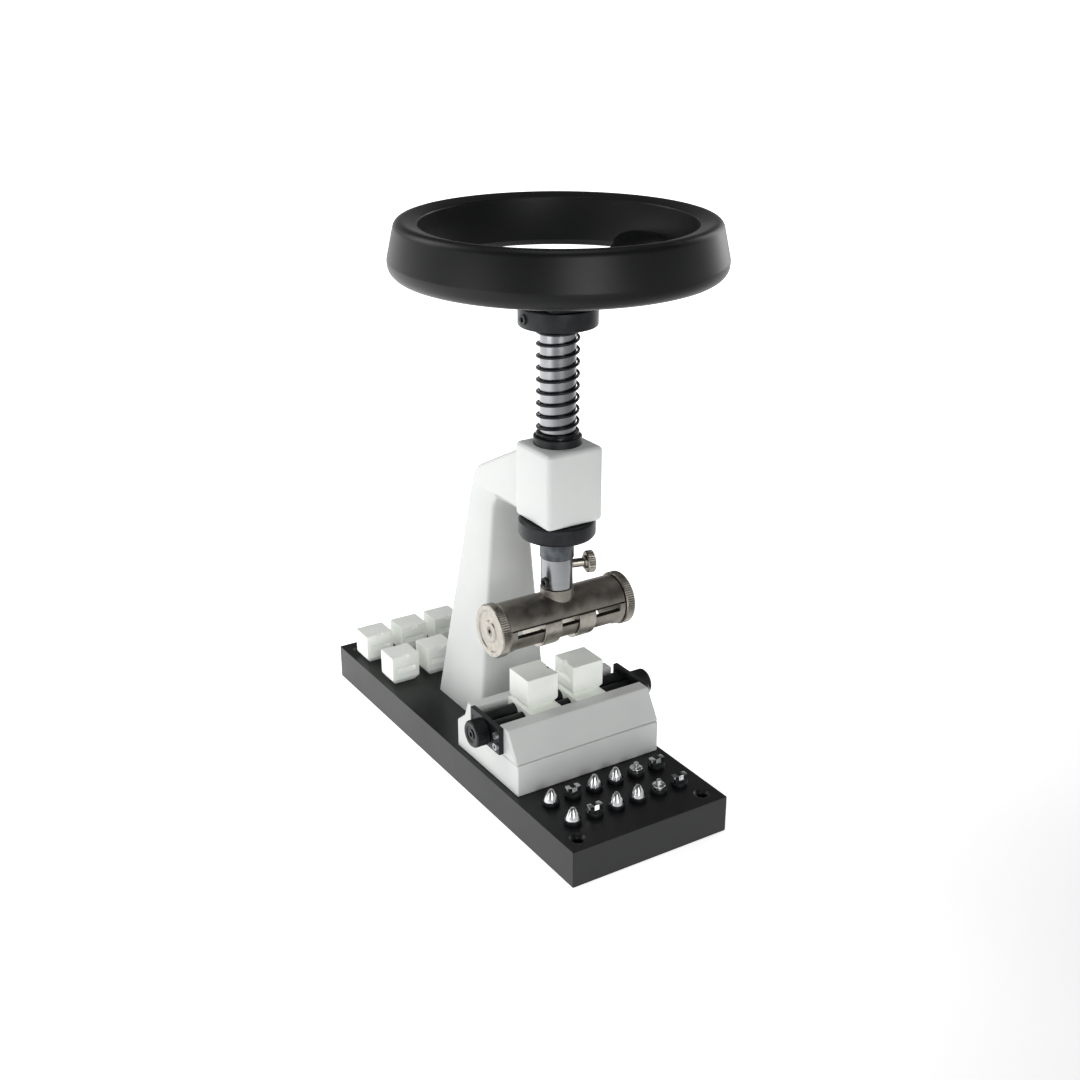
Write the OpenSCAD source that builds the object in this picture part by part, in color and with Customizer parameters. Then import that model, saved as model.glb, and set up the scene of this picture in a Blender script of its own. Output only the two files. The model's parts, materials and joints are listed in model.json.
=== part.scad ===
// Bench press for screwed watch case backs, with its case vice.
// Frame: origin at the centre of the underside of the base, +Z up, -Y towards the user.
// Everything is in millimetres and stands on the base: heights follow base_h,
// and the vice, the head and the wheel follow the spindle axis at spindle_y.

/* [Base plate] */
// Width of the base plate across the bench
base_w = 90; // [84:1:140]
// Length of the base plate
base_l = 250; // [244:1:340]
// Thickness of the base plate
base_h = 19.5; // [17:0.5:40]
// Diameter of the four bench screw holes
base_hole_d = 4.5; // [3.5:0.1:6]
// Diameter of the countersink of the bench screw holes
base_sink_d = 8; // [7:0.1:11]
// Distance of the bench screw holes from the side edges
base_hole_side = 8.5; // [7:0.5:12]
// Distance of the bench screw holes from the front and back edges
base_hole_end = 9; // [7:0.5:12]

/* [Frame casting] */
// Place of the spindle axis in front of the middle of the base
spindle_back = 40.6; // [36:0.2:44]
// Distance from the spindle axis back to the foot of the column
throat_reach = 41.8; // [41.5:0.2:50]
// Height of the head block above the base plate
throat_h = 128.3; // [126:0.5:180]
// Depth of the column at its foot
column_depth = 47.6; // [40:0.5:60]
// Width of the column at its foot
column_foot_w = 41.6; // [34:0.5:60]
// Width of the arm where it joins the head block
arm_w = 20; // [16:0.5:28]
// Amount by which the front of the column leans back towards the top
column_lean = 2.4; // [0:0.1:5]
// Amount by which the back of the column leans forward towards the top
back_lean = 24; // [16:0.5:28]
// Height of the shoulder of the column above the base plate
shoulder_h = 136; // [130:0.5:190]
// Width of the head block
head_w = 31.4; // [28:0.2:40]
// Depth of the head block
head_d = 30.1; // [27:0.2:40]
// Height of the head block
head_h = 37.8; // [34:0.2:60]
// Radius on the upright edges of the head block
head_edge_r = 2; // [0.5:0.1:4]
// Radius of the shoulder at the back of the column
shoulder_r = 18; // [6:1:24]
// Radius inside the throat between column and arm
throat_r = 8; // [3:0.5:14]

/* [Spindle and spring] */
// Diameter of the spindle
spindle_d = 17.3; // [14:0.1:18]
// Outer diameter of the bushes in the head block
bush_d = 22; // [20:0.5:25]
// Length of each bush inside the head block
bush_len = 15; // [8:0.5:16]
// Diameter of the flange on the upper bush
bush_flange_d = 23.4; // [23:0.1:28]
// Height of the flange on the upper bush
bush_flange_h = 4; // [2:0.5:8]
// Length of the return spring between its seats
spring_len = 52.3; // [46:0.1:80]
// Thickness of the spring wire
spring_wire = 1.8; // [1.2:0.1:2.0]
// Number of curls in the return spring
spring_curls = 8; // [6:1:10]
// Least gap between the spindle and the inside of the spring
spring_gap = 0.15; // [0.1:0.05:0.4]
// Thickness of the washer on top of the spring
spring_washer_h = 1; // [0.6:0.1:2]
// Diameter of the washer on top of the spring
spring_washer_d = 24; // [23:0.5:30]

/* [Handwheel] */
// Largest diameter of the handwheel rim
wheel_d = 155; // [130:1:180]
// Height of the handwheel rim
rim_h = 26.2; // [20:0.1:34]
// Width of the rim section at its widest
rim_w = 14.2; // [12:0.1:18]
// How far the outside of the rim leans in towards its crown
rim_lean = 4; // [1:0.1:8]
// Height that the top of the rim falls to its inner edge
rim_fall = 2.8; // [0.5:0.1:4]
// Height of the rim underside above the collar
rim_lift = 14.6; // [12:0.1:22]
// Width of a spoke where it meets the rim
spoke_rim_w = 41; // [24:0.5:46]
// Width of a spoke where it meets the hub
spoke_hub_w = 22; // [12:0.5:26]
// Thickness of a spoke where it meets the rim
spoke_h = 7.2; // [4:0.1:9]
// Height of the underside of a spoke above that of the rim
spoke_rise = 3; // [0:0.1:6]
// Diameter of the wheel hub
hub_d = 32; // [26:0.5:40]
// Height of the wheel hub
hub_h = 5.6; // [4:0.1:8]
// Direction of the first spoke, anticlockwise from the right
first_spoke_angle = 16; // [0:1:60]
// Diameter of the collar under the wheel
collar_d = 37.6; // [28:0.2:44]
// Height of the collar under the wheel
collar_h = 9; // [7:0.1:14]
// Diameter of the spindle nose in the wheel hub
nose_d = 12; // [9:0.1:13]
// Diameter of the washer that holds the wheel
wheel_washer_d = 17; // [14:0.1:24]
// Thickness of the washer that holds the wheel
wheel_washer_h = 1.2; // [0.8:0.1:2]
// Head diameter of the screw that holds the wheel
wheel_screw_d = 10; // [8:0.1:12]

/* [Chuck] */
// Diameter of the stop ring under the head block
ring_d = 37.8; // [30:0.2:44]
// Height of the stop ring
ring_h = 8.7; // [5:0.1:12]
// Diameter of the sleeve above the chuck
sleeve_d = 16.8; // [16.6:0.1:22]
// Height of the sleeve above the chuck
sleeve_h = 11.8; // [8:0.1:16]
// Diameter of the chuck
chuck_d = 15.7; // [14.8:0.1:18]
// Length of the chuck that shows under the sleeve
chuck_len = 15.8; // [14:0.1:22]
// Diameter of the chuck stem inside the spindle
chuck_stem_d = 13; // [11.5:0.1:13.5]
// Diameter of the shank that the chuck holds
shank_d = 9.9; // [7:0.1:10]
// Direction of the thumb screw, anticlockwise from the right
thumb_angle = -15; // [-40:1:40]
// Diameter of the thumb screw head
thumb_head_d = 11; // [8:0.1:14]
// Length of the thumb screw head
thumb_head_len = 4; // [3:0.1:6]
// Diameter of the thumb screw stem
thumb_stem_d = 4.5; // [3:0.1:5]
// Length of the stem that shows between chuck and head
thumb_stem_len = 7; // [4:0.1:10]
// Direction of the chuck set screw, anticlockwise from the right
grub_angle = 190; // [150:1:230]
// Diameter of the set screws in the chuck and the collar
grub_d = 5; // [3:0.1:6]

/* [Opener head] */
// Diameter of the opener head tube
tube_d = 25; // [22:0.1:26]
// Length of the opener head tube
tube_len = 67; // [60:0.5:70]
// Diameter of the knobs on the ends of the opener head
end_knob_d = 27; // [24:0.1:27.6]
// Length of the knobs on the ends of the opener head
end_knob_len = 5; // [3:0.1:6]
// Height of the neck above the axis of the opener head
neck_h = 15.4; // [14.5:0.1:18]
// Diameter of the neck
neck_d = 16.6; // [12:0.1:18]
// Length of the pocket inside the opener head
pocket_len = 60; // [50:0.5:60]
// Width of the pocket that opens under the opener head
pocket_w = 18; // [16:0.1:18.4]
// Height of the window in the front of the opener head
window_h = 4.4; // [3:0.1:6]
// Diameter of the screw inside the opener head
head_screw_d = 5; // [4:0.1:6]
// Length of each bit carrier along the opener head
carrier_len = 9.6; // [8:0.1:12]
// Distance of the middle of each bit carrier from the spindle axis
carrier_out = 10; // [8:0.1:20]
// Thickness of the carrier shoe outside the tube
shoe_t = 0.8; // [0.6:0.05:1.0]
// Diameter of the threaded hole for a bit
bit_hole_d = 4; // [3:0.1:5]

/* [Vice] */
// Width of the vice across the base
vice_w = 84; // [78:0.5:110]
// Distance from the spindle axis to the front of the vice
vice_front = 30.9; // [28:0.1:34]
// Distance from the spindle axis to the back of the vice
vice_back = 28.6; // [26:0.1:32]
// Height of the vice slab
slab_h = 17; // [14:0.1:26]
// Height of the front rail above the slab
rail_h = 15.5; // [15:0.1:24]
// Distance from the spindle axis to the inside of the front rail
rail_inner = 13.9; // [13.4:0.1:16]
// Depth of the flat top of the front rail
rail_top_d = 7.5; // [5:0.1:9]
// Height of the back wall above the slab
wall_h = 13; // [12:0.1:22]
// Distance from the spindle axis to the inside of the back wall
wall_inner = 11.1; // [10.8:0.1:13]
// Depth of the flat top of the back wall
wall_top_d = 6.5; // [4:0.1:7.5]
// Thickness of the end plates
plate_t = 2.8; // [2:0.1:5]
// Height of the end plates
plate_h = 14.5; // [13.5:0.1:15]
// Height of the end plates above the slab
plate_lift = 0.8; // [0.3:0.1:1.5]
// Diameter of the guide rod
rod_d = 7.6; // [6:0.1:7.8]
// Distance of the guide rod behind the spindle axis
rod_back = 4.6; // [4.4:0.1:5.2]
// Height of the guide rod above the slab
rod_lift = 8.9; // [8.4:0.1:9]
// Diameter of the vice screw
vice_screw_d = 7; // [5:0.1:7]
// Distance of the vice screw in front of the spindle axis
vice_screw_front = 4; // [4:0.1:5]
// Height of the vice screw above the slab
vice_screw_lift = 8.3; // [7.6:0.1:8.6]
// Diameter of the vice knobs
vice_knob_d = 14; // [12:0.1:15]
// Length of the vice knobs
vice_knob_len = 7.5; // [5:0.1:14]

/* [Jaws] */
// Length of each jaw along the vice screw
jaw_len = 18; // [14:0.1:19]
// Width of each jaw across the vice
jaw_w = 17.5; // [14:0.1:20]
// Height of each jaw
jaw_h = 17; // [14:0.1:17.2]
// Gap between the jaws as they stand
jaw_gap = 9.2; // [6:0.1:20]
// Height of the jaw carriers
jaw_carrier_h = 13.8; // [13.6:0.1:14.2]
// Diameter of the pegs that hold the jaws
peg_d = 5; // [4:0.1:6]
// Height of the pegs that hold the jaws
peg_h = 8; // [5:0.1:10]
// Length of each spare jaw across its gripping face
spare_jaw_w = 16.6; // [14:0.1:18]
// Depth of each spare jaw
spare_jaw_len = 14.4; // [12:0.1:18]
// Distance between spare jaws in a row
spare_jaw_pitch = 22; // [19:0.5:22.5]
// Distance from the middle of the base to the nearer row of spare jaws
spare_jaw_near = 70.2; // [68:0.2:80]
// Distance between the two rows of spare jaws
spare_jaw_rows = 32; // [24:0.5:34]

/* [Spare bits] */
// Distance between spare bits in a row
bit_pitch = 12.6; // [11:0.1:14]
// Distance from the middle of the base to the nearer row of spare bits
bit_near = 85; // [82:0.5:88]
// Distance between the two rows of spare bits
bit_rows = 19; // [14:0.5:22]
// Diameter of the collar of a bit
bit_d = 8.6; // [7:0.1:10]
// Height of the collar of a bit
bit_collar_h = 2.6; // [2:0.1:4]
// Height of the tip of a bit above its collar
bit_tip_h = 5.6; // [3:0.1:8]
// Length of the threaded stem of a bit
bit_stem_len = 7; // [4:0.5:8]

/* [Hidden] */
// Running fits, seats and the small gap that keeps moving pieces apart
run_gap = 0.05;
seat_gap = 0.02;
air_gap = 0.3;
// Facets of full rounds and of the small round holes
$fn = 96;

// Heights of the frame
spindle_y = -spindle_back;
base_top = base_h;
head_bottom = base_top + throat_h;
head_top = head_bottom + head_h;
column_front = spindle_y + throat_reach;
column_back = column_front + column_depth;
block_front = spindle_y - head_d * 0.545;
block_back = block_front + head_d;
arm_rise = 0.51;

// Heights on the spindle
spring_foot = head_top + bush_flange_h;
washer_bottom = spring_foot + spring_len;
collar_bottom = washer_bottom + spring_washer_h;
collar_top = collar_bottom + collar_h;
hub_top = collar_top + hub_h;
nose_top = hub_top - air_gap;
ring_top = head_bottom - air_gap;
ring_bottom = ring_top - ring_h;
sleeve_bottom = ring_bottom - sleeve_h;
chuck_bottom = sleeve_bottom - chuck_len;
chuck_stem_len = 16;
shank_len = 22;
screw_seat_depth = 12;

// Rim of the handwheel
wheel_r = wheel_d / 2;
rim_bottom = collar_top + rim_lift;
rim_top = rim_bottom + rim_h;
rim_inner = wheel_r - rim_w;

// Height and parts of the opener head
head_axis = chuck_bottom - neck_h;
tube_r = tube_d / 2;
end_knob_x = tube_len / 2 + air_gap;
pocket_top = 5.5;
window_up = 0.9;
thumb_z = chuck_bottom + chuck_len * 0.68;
grub_z = chuck_bottom + chuck_len * 0.24;

// Vice
slab_top = base_top + slab_h;
rail_inner_y = spindle_y - rail_inner;
wall_inner_y = spindle_y + wall_inner;
vice_front_y = spindle_y - vice_front;
vice_back_y = spindle_y + vice_back;
plate_x = vice_w / 2 + plate_t;
plate_bottom = slab_top + plate_lift;
plate_overlap = 4;
plate_back_gap = 1.1;
rod_y = spindle_y + rod_back;
rod_z = slab_top + rod_lift;
vice_screw_y = spindle_y - vice_screw_front;
vice_screw_z = slab_top + vice_screw_lift;
journal_d = vice_screw_d - 2;
knob_face_x = plate_x + air_gap + vice_knob_len;
carrier_side_gap = 0.6;
jaw_carrier_bottom = slab_top + 0.4;
jaw_seat_z = jaw_carrier_bottom + jaw_carrier_h;
jaw_mid_x = (jaw_gap + jaw_len) / 2;

// Fasteners
frame_bolt_d = 8;
frame_bolt_head_d = 13;
frame_bolt_head_h = 8;
frame_bolt_bite = 16;
frame_bolt_at = [0.25, 0.76];
vice_bolt_d = 5;
vice_bolt_head_d = 8.5;
vice_bolt_head_h = 5;
vice_bolt_bite = 12;
vice_bolt_inset = 9;
rail_screw_d = 4;
rail_screw_head_d = 7;
rail_screw_head_h = 4;
rail_screw_bite = 6;
rail_screw_x = 20;
plate_screw_d = 2.5;
plate_screw_head_d = 3.8;
plate_screw_head_h = 1.4;
plate_screw_len = 9;
head_recess = 0.5;

// Direction of a vector
function unit(v) = v / norm(v);

// Points of an arc that rounds the corner b between a and c
function corner_arc(a, b, c, r, steps = 6) =
    let (u = unit(a - b), w = unit(c - b), half = acos(u * w) / 2)
    let (centre = b + unit(u + w) * r / sin(half))
    let (from = b + u * r / tan(half) - centre, to = b + w * r / tan(half) - centre)
    let (start = atan2(from.y, from.x), turn = atan2(to.y, to.x) - start)
    let (sweep = turn > 180 ? turn - 360 : turn < -180 ? turn + 360 : turn)
    [for (i = [0:steps]) centre + r * [cos(start + sweep * i / steps), sin(start + sweep * i / steps)]];

// Outline whose corners have the radii in the third value of each point
function rounded_outline(points) =
    let (n = len(points))
    [for (i = [0:n - 1])
        let (a = points[(i + n - 1) % n], b = points[i], c = points[(i + 1) % n])
        each b[2] > 0
            ? corner_arc([a.x, a.y], [b.x, b.y], [c.x, c.y], b[2])
            : [[b.x, b.y]]];

// A profile drawn in Y and Z, drawn out evenly to both sides of X = 0
module drawn_across(width) {
    rotate([90, 0, 90])
        translate([0, 0, -width / 2])
            linear_extrude(width) children();
}

// A cylinder along X from x0 to x1
module rod_x(x0, x1, d, y, z) {
    translate([x0, y, z])
        rotate([0, 90, 0])
            cylinder(d = d, h = x1 - x0);
}

// A socket head screw that points up, with its head at z = 0
module socket_screw(d, head_d, head_h, length) {
    hex_share = 0.8;
    difference() {
        union() {
            cylinder(d = head_d, h = head_h);
            translate([0, 0, head_h]) cylinder(d = d, h = length);
        }
        translate([0, 0, -1])
            cylinder(d = d * hex_share, h = head_h * 0.5 + 1, $fn = 6);
    }
}

// The room that a socket head screw needs in the pieces it joins
module socket_screw_room(d, head_d, head_h, length, depth) {
    translate([0, 0, -1]) cylinder(d = head_d + 2 * air_gap, h = head_h + depth + 1);
    cylinder(d = d + 2 * seat_gap, h = head_h + depth + length + 1);
}

// Places of the fasteners and of the stored pieces
module at_base_holes() {
    for (sx = [-1, 1], sy = [-1, 1])
        translate([sx * (base_w / 2 - base_hole_side), sy * (base_l / 2 - base_hole_end), 0])
            children();
}

module at_frame_bolts() {
    for (share = frame_bolt_at)
        translate([0, column_front + column_depth * share, 0]) children();
}

module at_vice_bolts() {
    for (sx = [-1, 1], y = [vice_front_y + vice_bolt_inset, vice_back_y - vice_bolt_inset])
        translate([sx * (vice_w / 2 - vice_bolt_inset), y, 0]) children();
}

module at_rail_screws() {
    for (sx = [-1, 1])
        translate([sx * rail_screw_x, (rail_inner_y + vice_front_y) / 2, base_top])
            children();
}

function spare_jaw_place(i) =
    [spare_jaw_pitch * ((i - 1) % 4 - 1.5), spare_jaw_near + (i > 4 ? spare_jaw_rows : 0), base_top];

function bit_place(i, row) = [bit_pitch * (i - 3.5), -bit_near - row * bit_rows, base_top];

// Base
module base_plate() color("#1d1e20") {
    difference() {
        translate([-base_w / 2, -base_l / 2, 0]) cube([base_w, base_l, base_h]);
        at_base_holes() {
            translate([0, 0, -1]) cylinder(d = base_hole_d, h = base_h + 2);
            sink_h = (base_sink_d - base_hole_d) / 2;
            translate([0, 0, base_top - sink_h])
                cylinder(d1 = base_hole_d, d2 = base_sink_d, h = sink_h);
            translate([0, 0, base_top]) cylinder(d = base_sink_d, h = 1);
        }
        at_frame_bolts()
            socket_screw_room(frame_bolt_d, frame_bolt_head_d, frame_bolt_head_h, base_h, head_recess);
        at_vice_bolts()
            socket_screw_room(vice_bolt_d, vice_bolt_head_d, vice_bolt_head_h, base_h, head_recess);
        for (i = [1:8])
            translate(spare_jaw_place(i) - [0, 0, peg_h])
                cylinder(d = peg_d + 2 * seat_gap, h = peg_h + 1);
        for (i = [1:6], row = [0, 1])
            translate(bit_place(i, row) - [0, 0, bit_stem_len + 1])
                cylinder(d = bit_hole_d + 2 * run_gap, h = bit_stem_len + 2);
    }
}

// Side view of the column and the arm
module frame_outline() {
    shoulder_y = column_back - back_lean;
    shoulder_z = base_top + shoulder_h;
    arm_end = block_back - 4;
    polygon(rounded_outline([
        [column_front, base_top, 0],
        [column_front + column_lean, head_bottom, throat_r],
        [arm_end, head_bottom, 0],
        [arm_end, shoulder_z + (shoulder_y - arm_end) * arm_rise, 0],
        [shoulder_y, shoulder_z, shoulder_r],
        [column_back, base_top, 0]
    ]));
}

// Front view of the column, wide at the foot and narrow at the arm
module frame_front_view() {
    top = head_top + 1;
    polygon([
        [-column_foot_w / 2, base_top],
        [column_foot_w / 2, base_top],
        [arm_w / 2, head_bottom],
        [arm_w / 2, top],
        [-arm_w / 2, top],
        [-arm_w / 2, head_bottom]
    ]);
}

module head_block_outline() {
    r = head_edge_r;
    translate([-head_w / 2 + r, block_front]) square([head_w - 2 * r, head_d]);
    translate([-head_w / 2, block_front + r]) square([head_w, head_d - 2 * r]);
    for (x = [-head_w / 2 + r, head_w / 2 - r], y = [block_front + r, block_back - r])
        translate([x, y]) circle(r = r, $fn = 32);
}

module c_frame() color("#d9dbda") {
    difference() {
        union() {
            intersection() {
                drawn_across(column_foot_w) frame_outline();
                translate([0, column_back + 1, 0])
                    rotate([90, 0, 0])
                        linear_extrude(column_back - block_front + 2) frame_front_view();
            }
            translate([0, 0, head_bottom]) linear_extrude(head_h) head_block_outline();
        }
        translate([0, spindle_y, head_bottom - 1]) cylinder(d = bush_d + 2 * seat_gap, h = head_h + 2);
        at_frame_bolts()
            translate([0, 0, base_top - 1])
                cylinder(d = frame_bolt_d + 2 * seat_gap, h = frame_bolt_bite + 3);
    }
}

module frame_bolts() color("#2a2b2d") {
    length = base_top + frame_bolt_bite - frame_bolt_head_h - head_recess;
    at_frame_bolts()
        translate([0, 0, head_recess])
            socket_screw(frame_bolt_d, frame_bolt_head_d, frame_bolt_head_h, length);
}

module spindle_bush(z, with_flange) {
    difference() {
        union() {
            translate([0, spindle_y, z]) cylinder(d = bush_d, h = bush_len);
            if (with_flange)
                translate([0, spindle_y, head_top]) cylinder(d = bush_flange_d, h = bush_flange_h);
        }
        translate([0, spindle_y, z - 1])
            cylinder(d = spindle_d + 2 * run_gap, h = bush_len + bush_flange_h + 2);
    }
}

module upper_bush() color("#1b1c1e") spindle_bush(head_top - bush_len, true);

module lower_bush() color("#1b1c1e") spindle_bush(head_bottom, false);

// Vice
module vice_section() {
    foot_r = 1;
    slope_y = vice_back_y - 7.5;
    polygon(rounded_outline([
        [vice_front_y, base_top, 0],
        [vice_back_y, base_top, 0],
        [vice_back_y, slab_top - 1.5, 2],
        [slope_y, slab_top + 4.5, 3],
        [wall_inner_y + wall_top_d, slab_top + wall_h, 1],
        [wall_inner_y, slab_top + wall_h, 0.6],
        [wall_inner_y, slab_top, foot_r],
        [vice_front_y, slab_top, 0.6]
    ]));
}

module vice_body() color("#cfd2d1") {
    difference() {
        drawn_across(vice_w) vice_section();
        at_vice_bolts()
            translate([0, 0, base_top - 1])
                cylinder(d = vice_bolt_d + 2 * seat_gap, h = vice_bolt_bite + 2);
        at_rail_screws()
            socket_screw_room(rail_screw_d, rail_screw_head_d, rail_screw_head_h, slab_h, head_recess);
    }
}

module vice_bolts() color("#2a2b2d") {
    length = base_top + vice_bolt_bite - vice_bolt_head_h - head_recess - air_gap;
    at_vice_bolts()
        translate([0, 0, head_recess])
            socket_screw(vice_bolt_d, vice_bolt_head_d, vice_bolt_head_h, length);
}

// Front rail: flat top, sloping face and a small groove where it meets the slab
module rail_section() {
    groove = 0.9;
    polygon(rounded_outline([
        [vice_front_y + groove, slab_top, 0],
        [rail_inner_y, slab_top, 0],
        [rail_inner_y, slab_top + rail_h, 0.6],
        [rail_inner_y - rail_top_d, slab_top + rail_h, 1.2],
        [vice_front_y + groove / 3, slab_top + groove, 0.3]
    ]));
}

module plate_screw_places() {
    y = rail_inner_y - plate_overlap / 2;
    for (share = [0.3, 0.72])
        translate([0, y, plate_bottom + plate_h * share]) children();
}

module vice_front_rail() color("#d3d6d5") {
    difference() {
        drawn_across(vice_w) rail_section();
        at_rail_screws()
            translate([0, 0, slab_h - 1])
                cylinder(d = rail_screw_d + 2 * seat_gap, h = rail_screw_bite + 2);
        for (side = [-1, 1])
            plate_screw_places()
                rotate([0, side * 90, 0])
                    translate([0, 0, vice_w / 2 - plate_screw_len])
                        cylinder(d = plate_screw_d + 2 * seat_gap, h = plate_screw_len + 1, $fn = 32);
    }
}

module rail_screws() color("#2a2b2d") {
    length = slab_h + rail_screw_bite - rail_screw_head_h - head_recess;
    at_rail_screws()
        translate([0, 0, head_recess])
            socket_screw(rail_screw_d, rail_screw_head_d, rail_screw_head_h, length);
}

// End plate on the right for side = 1 and on the left for side = -1
module vice_plate(side) {
    front = rail_inner_y - plate_overlap;
    back = wall_inner_y - plate_back_gap;
    x0 = side > 0 ? vice_w / 2 : -plate_x;
    difference() {
        translate([x0, front, plate_bottom]) cube([plate_t, back - front, plate_h]);
        rod_x(x0 - 1, x0 + plate_t + 1, rod_d + 2 * seat_gap, rod_y, rod_z);
        rod_x(x0 - 1, x0 + plate_t + 1, journal_d + 2 * run_gap, vice_screw_y, vice_screw_z);
        plate_screw_places()
            rotate([0, side * 90, 0])
                translate([0, 0, vice_w / 2 - 1])
                    cylinder(d = plate_screw_d + 2 * seat_gap, h = plate_t + 2, $fn = 32);
    }
}

module vice_plate_left() color("#1a1b1d") vice_plate(-1);

module vice_plate_right() color("#1a1b1d") vice_plate(1);

module plate_screws() color("#8d9094") {
    for (side = [-1, 1])
        plate_screw_places()
            rotate([0, side * 90, 0])
                translate([0, 0, plate_x + plate_screw_head_h])
                    rotate([180, 0, 0])
                        socket_screw(plate_screw_d, plate_screw_head_d, plate_screw_head_h,
                            plate_screw_len + plate_t - 1, $fn = 32);
}

module guide_rod() color("#26282a") {
    rod_x(-plate_x + air_gap, plate_x - air_gap, rod_d, rod_y, rod_z);
}

module vice_screw() color("#2c2e31") {
    thread_end = vice_w / 2 - air_gap;
    difference() {
        union() {
            rod_x(-thread_end, thread_end, vice_screw_d, vice_screw_y, vice_screw_z);
            rod_x(-knob_face_x, knob_face_x, journal_d, vice_screw_y, vice_screw_z);
        }
        for (side = [-1, 1])
            translate([side * knob_face_x, vice_screw_y, vice_screw_z])
                rotate([0, side * 90, 0])
                    translate([0, 0, -2.5])
                        cylinder(d = journal_d * 0.55, h = 3.5, $fn = 6);
    }
}

module vice_knob(side) {
    x0 = side > 0 ? plate_x + air_gap : -knob_face_x;
    edge = 0.8;
    translate([x0, vice_screw_y, vice_screw_z])
        rotate([0, 90, 0])
            rotate_extrude()
                polygon([
                    [journal_d / 2 + seat_gap, 0],
                    [vice_knob_d / 2 - edge, 0],
                    [vice_knob_d / 2, edge],
                    [vice_knob_d / 2, vice_knob_len - edge],
                    [vice_knob_d / 2 - edge, vice_knob_len],
                    [journal_d / 2 + seat_gap, vice_knob_len]
                ]);
}

module vice_knob_left() color("#1e1f21") vice_knob(-1);

module vice_knob_right() color("#1e1f21") vice_knob(1);

// Jaw carrier on the guide rod and the vice screw, with the peg for its jaw
module jaw_carrier(side) {
    front = rail_inner_y + carrier_side_gap;
    back = wall_inner_y - carrier_side_gap;
    x0 = side * jaw_mid_x - jaw_len / 2;
    difference() {
        union() {
            translate([x0, front, jaw_carrier_bottom]) cube([jaw_len, back - front, jaw_carrier_h]);
            translate([side * jaw_mid_x, spindle_y, jaw_seat_z]) cylinder(d = peg_d, h = peg_h);
        }
        rod_x(x0 - 1, x0 + jaw_len + 1, rod_d + 2 * run_gap, rod_y, rod_z);
        rod_x(x0 - 1, x0 + jaw_len + 1, vice_screw_d + 2 * run_gap, vice_screw_y, vice_screw_z);
    }
}

module jaw_carrier_left() color("#e6e9e3") jaw_carrier(-1);

module jaw_carrier_right() color("#e6e9e3") jaw_carrier(1);

// A jaw whose gripping face looks along -Y, standing on z = 0 with its peg hole at the origin
module jaw(width, depth) {
    foot = 2.2;
    groove_z = jaw_h * 0.52;
    groove_h = 3.2;
    groove_d = 2;
    groove_side = 2.6;
    notch_w = 3.6;
    notch_d = 1.8;
    difference() {
        intersection() {
            translate([-width / 2, -depth / 2, 0]) cube([width, depth, jaw_h]);
            drawn_across(width + 2)
                polygon([
                    [-depth / 2 + foot, 0], [depth / 2 - foot, 0], [depth / 2, foot * 1.4],
                    [depth / 2, jaw_h], [-depth / 2, jaw_h], [-depth / 2, foot * 1.4]
                ]);
            rotate([90, 0, 0])
                linear_extrude(depth + 2, center = true)
                    polygon([
                        [-width / 2 + foot, 0], [width / 2 - foot, 0], [width / 2, foot * 1.4],
                        [width / 2, jaw_h], [-width / 2, jaw_h], [-width / 2, foot * 1.4]
                    ]);
        }
        translate([0, -depth / 2, groove_z])
            drawn_across(width - 2 * groove_side)
                polygon([[-1, groove_h * 0.75], [groove_d, 0], [-1, -groove_h * 0.75]]);
        translate([0, -depth / 2, jaw_h])
            rotate([45, 0, 0])
                cube([notch_w, notch_d * 1.4, notch_d * 1.4], center = true);
        translate([0, 0, -1]) cylinder(d = peg_d + 2 * seat_gap, h = peg_h + 2);
    }
}

module jaw_left() color("#e6e9e3")
    translate([-jaw_mid_x, spindle_y, jaw_seat_z]) rotate([0, 0, 90]) jaw(jaw_w, jaw_len);

module jaw_right() color("#e6e9e3")
    translate([jaw_mid_x, spindle_y, jaw_seat_z]) rotate([0, 0, -90]) jaw(jaw_w, jaw_len);

module jaw_pegs() color("#9a9c9e") {
    for (i = [1:8])
        translate(spare_jaw_place(i) - [0, 0, peg_h]) cylinder(d = peg_d, h = 2 * peg_h);
}

module spare_jaw(i) color("#e6e9e3") translate(spare_jaw_place(i)) jaw(spare_jaw_w, spare_jaw_len);

// Bit with a threaded stem, a round collar and one of three tips
module spare_bit(tip) {
    rotate_extrude()
        polygon([
            [0, -bit_stem_len], [bit_hole_d / 2, -bit_stem_len], [bit_hole_d / 2, 0],
            [bit_d / 2, 0], [bit_d / 2, bit_collar_h], [0, bit_collar_h]
        ]);
    translate([0, 0, bit_collar_h]) {
        if (tip == "cone")
            cylinder(d1 = bit_d * 0.92, d2 = bit_d * 0.24, h = bit_tip_h);
        if (tip == "pin") {
            cylinder(d = bit_d * 0.78, h = bit_tip_h * 0.35);
            cylinder(d = bit_d * 0.3, h = bit_tip_h * 0.8);
        }
        if (tip == "blade")
            intersection() {
                cylinder(d = bit_d * 0.92, h = bit_tip_h * 0.6);
                translate([-bit_d / 2, -bit_d * 0.2, 0]) cube([bit_d, bit_d * 0.4, bit_tip_h]);
            }
    }
}

module spare_bits(i) color("#55585c") {
    tips = ["cone", "blade", "cone", "cone", "pin", "blade"];
    for (row = [0, 1])
        translate(bit_place(i, row)) spare_bit(tips[i - 1]);
}

// Return spring: a straight start square to each seat, a bend and even curls between.
// Its wire is six sided with a flat side inwards, and the flats of a curl clear the spindle.
wire_sides = 6;
curl_rings = 8;
wire_flat = spring_wire / 2 * cos(180 / wire_sides);
spring_r = (spindle_d / 2 + spring_gap) / cos(180 / curl_rings) + wire_flat;
spring_bend = 1.6;
spring_bend_steps = 3;
spring_rise = spring_len - 2 * (spring_wire + spring_bend);
spring_slope = atan(spring_rise / (spring_curls * 2 * PI * spring_r));

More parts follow.
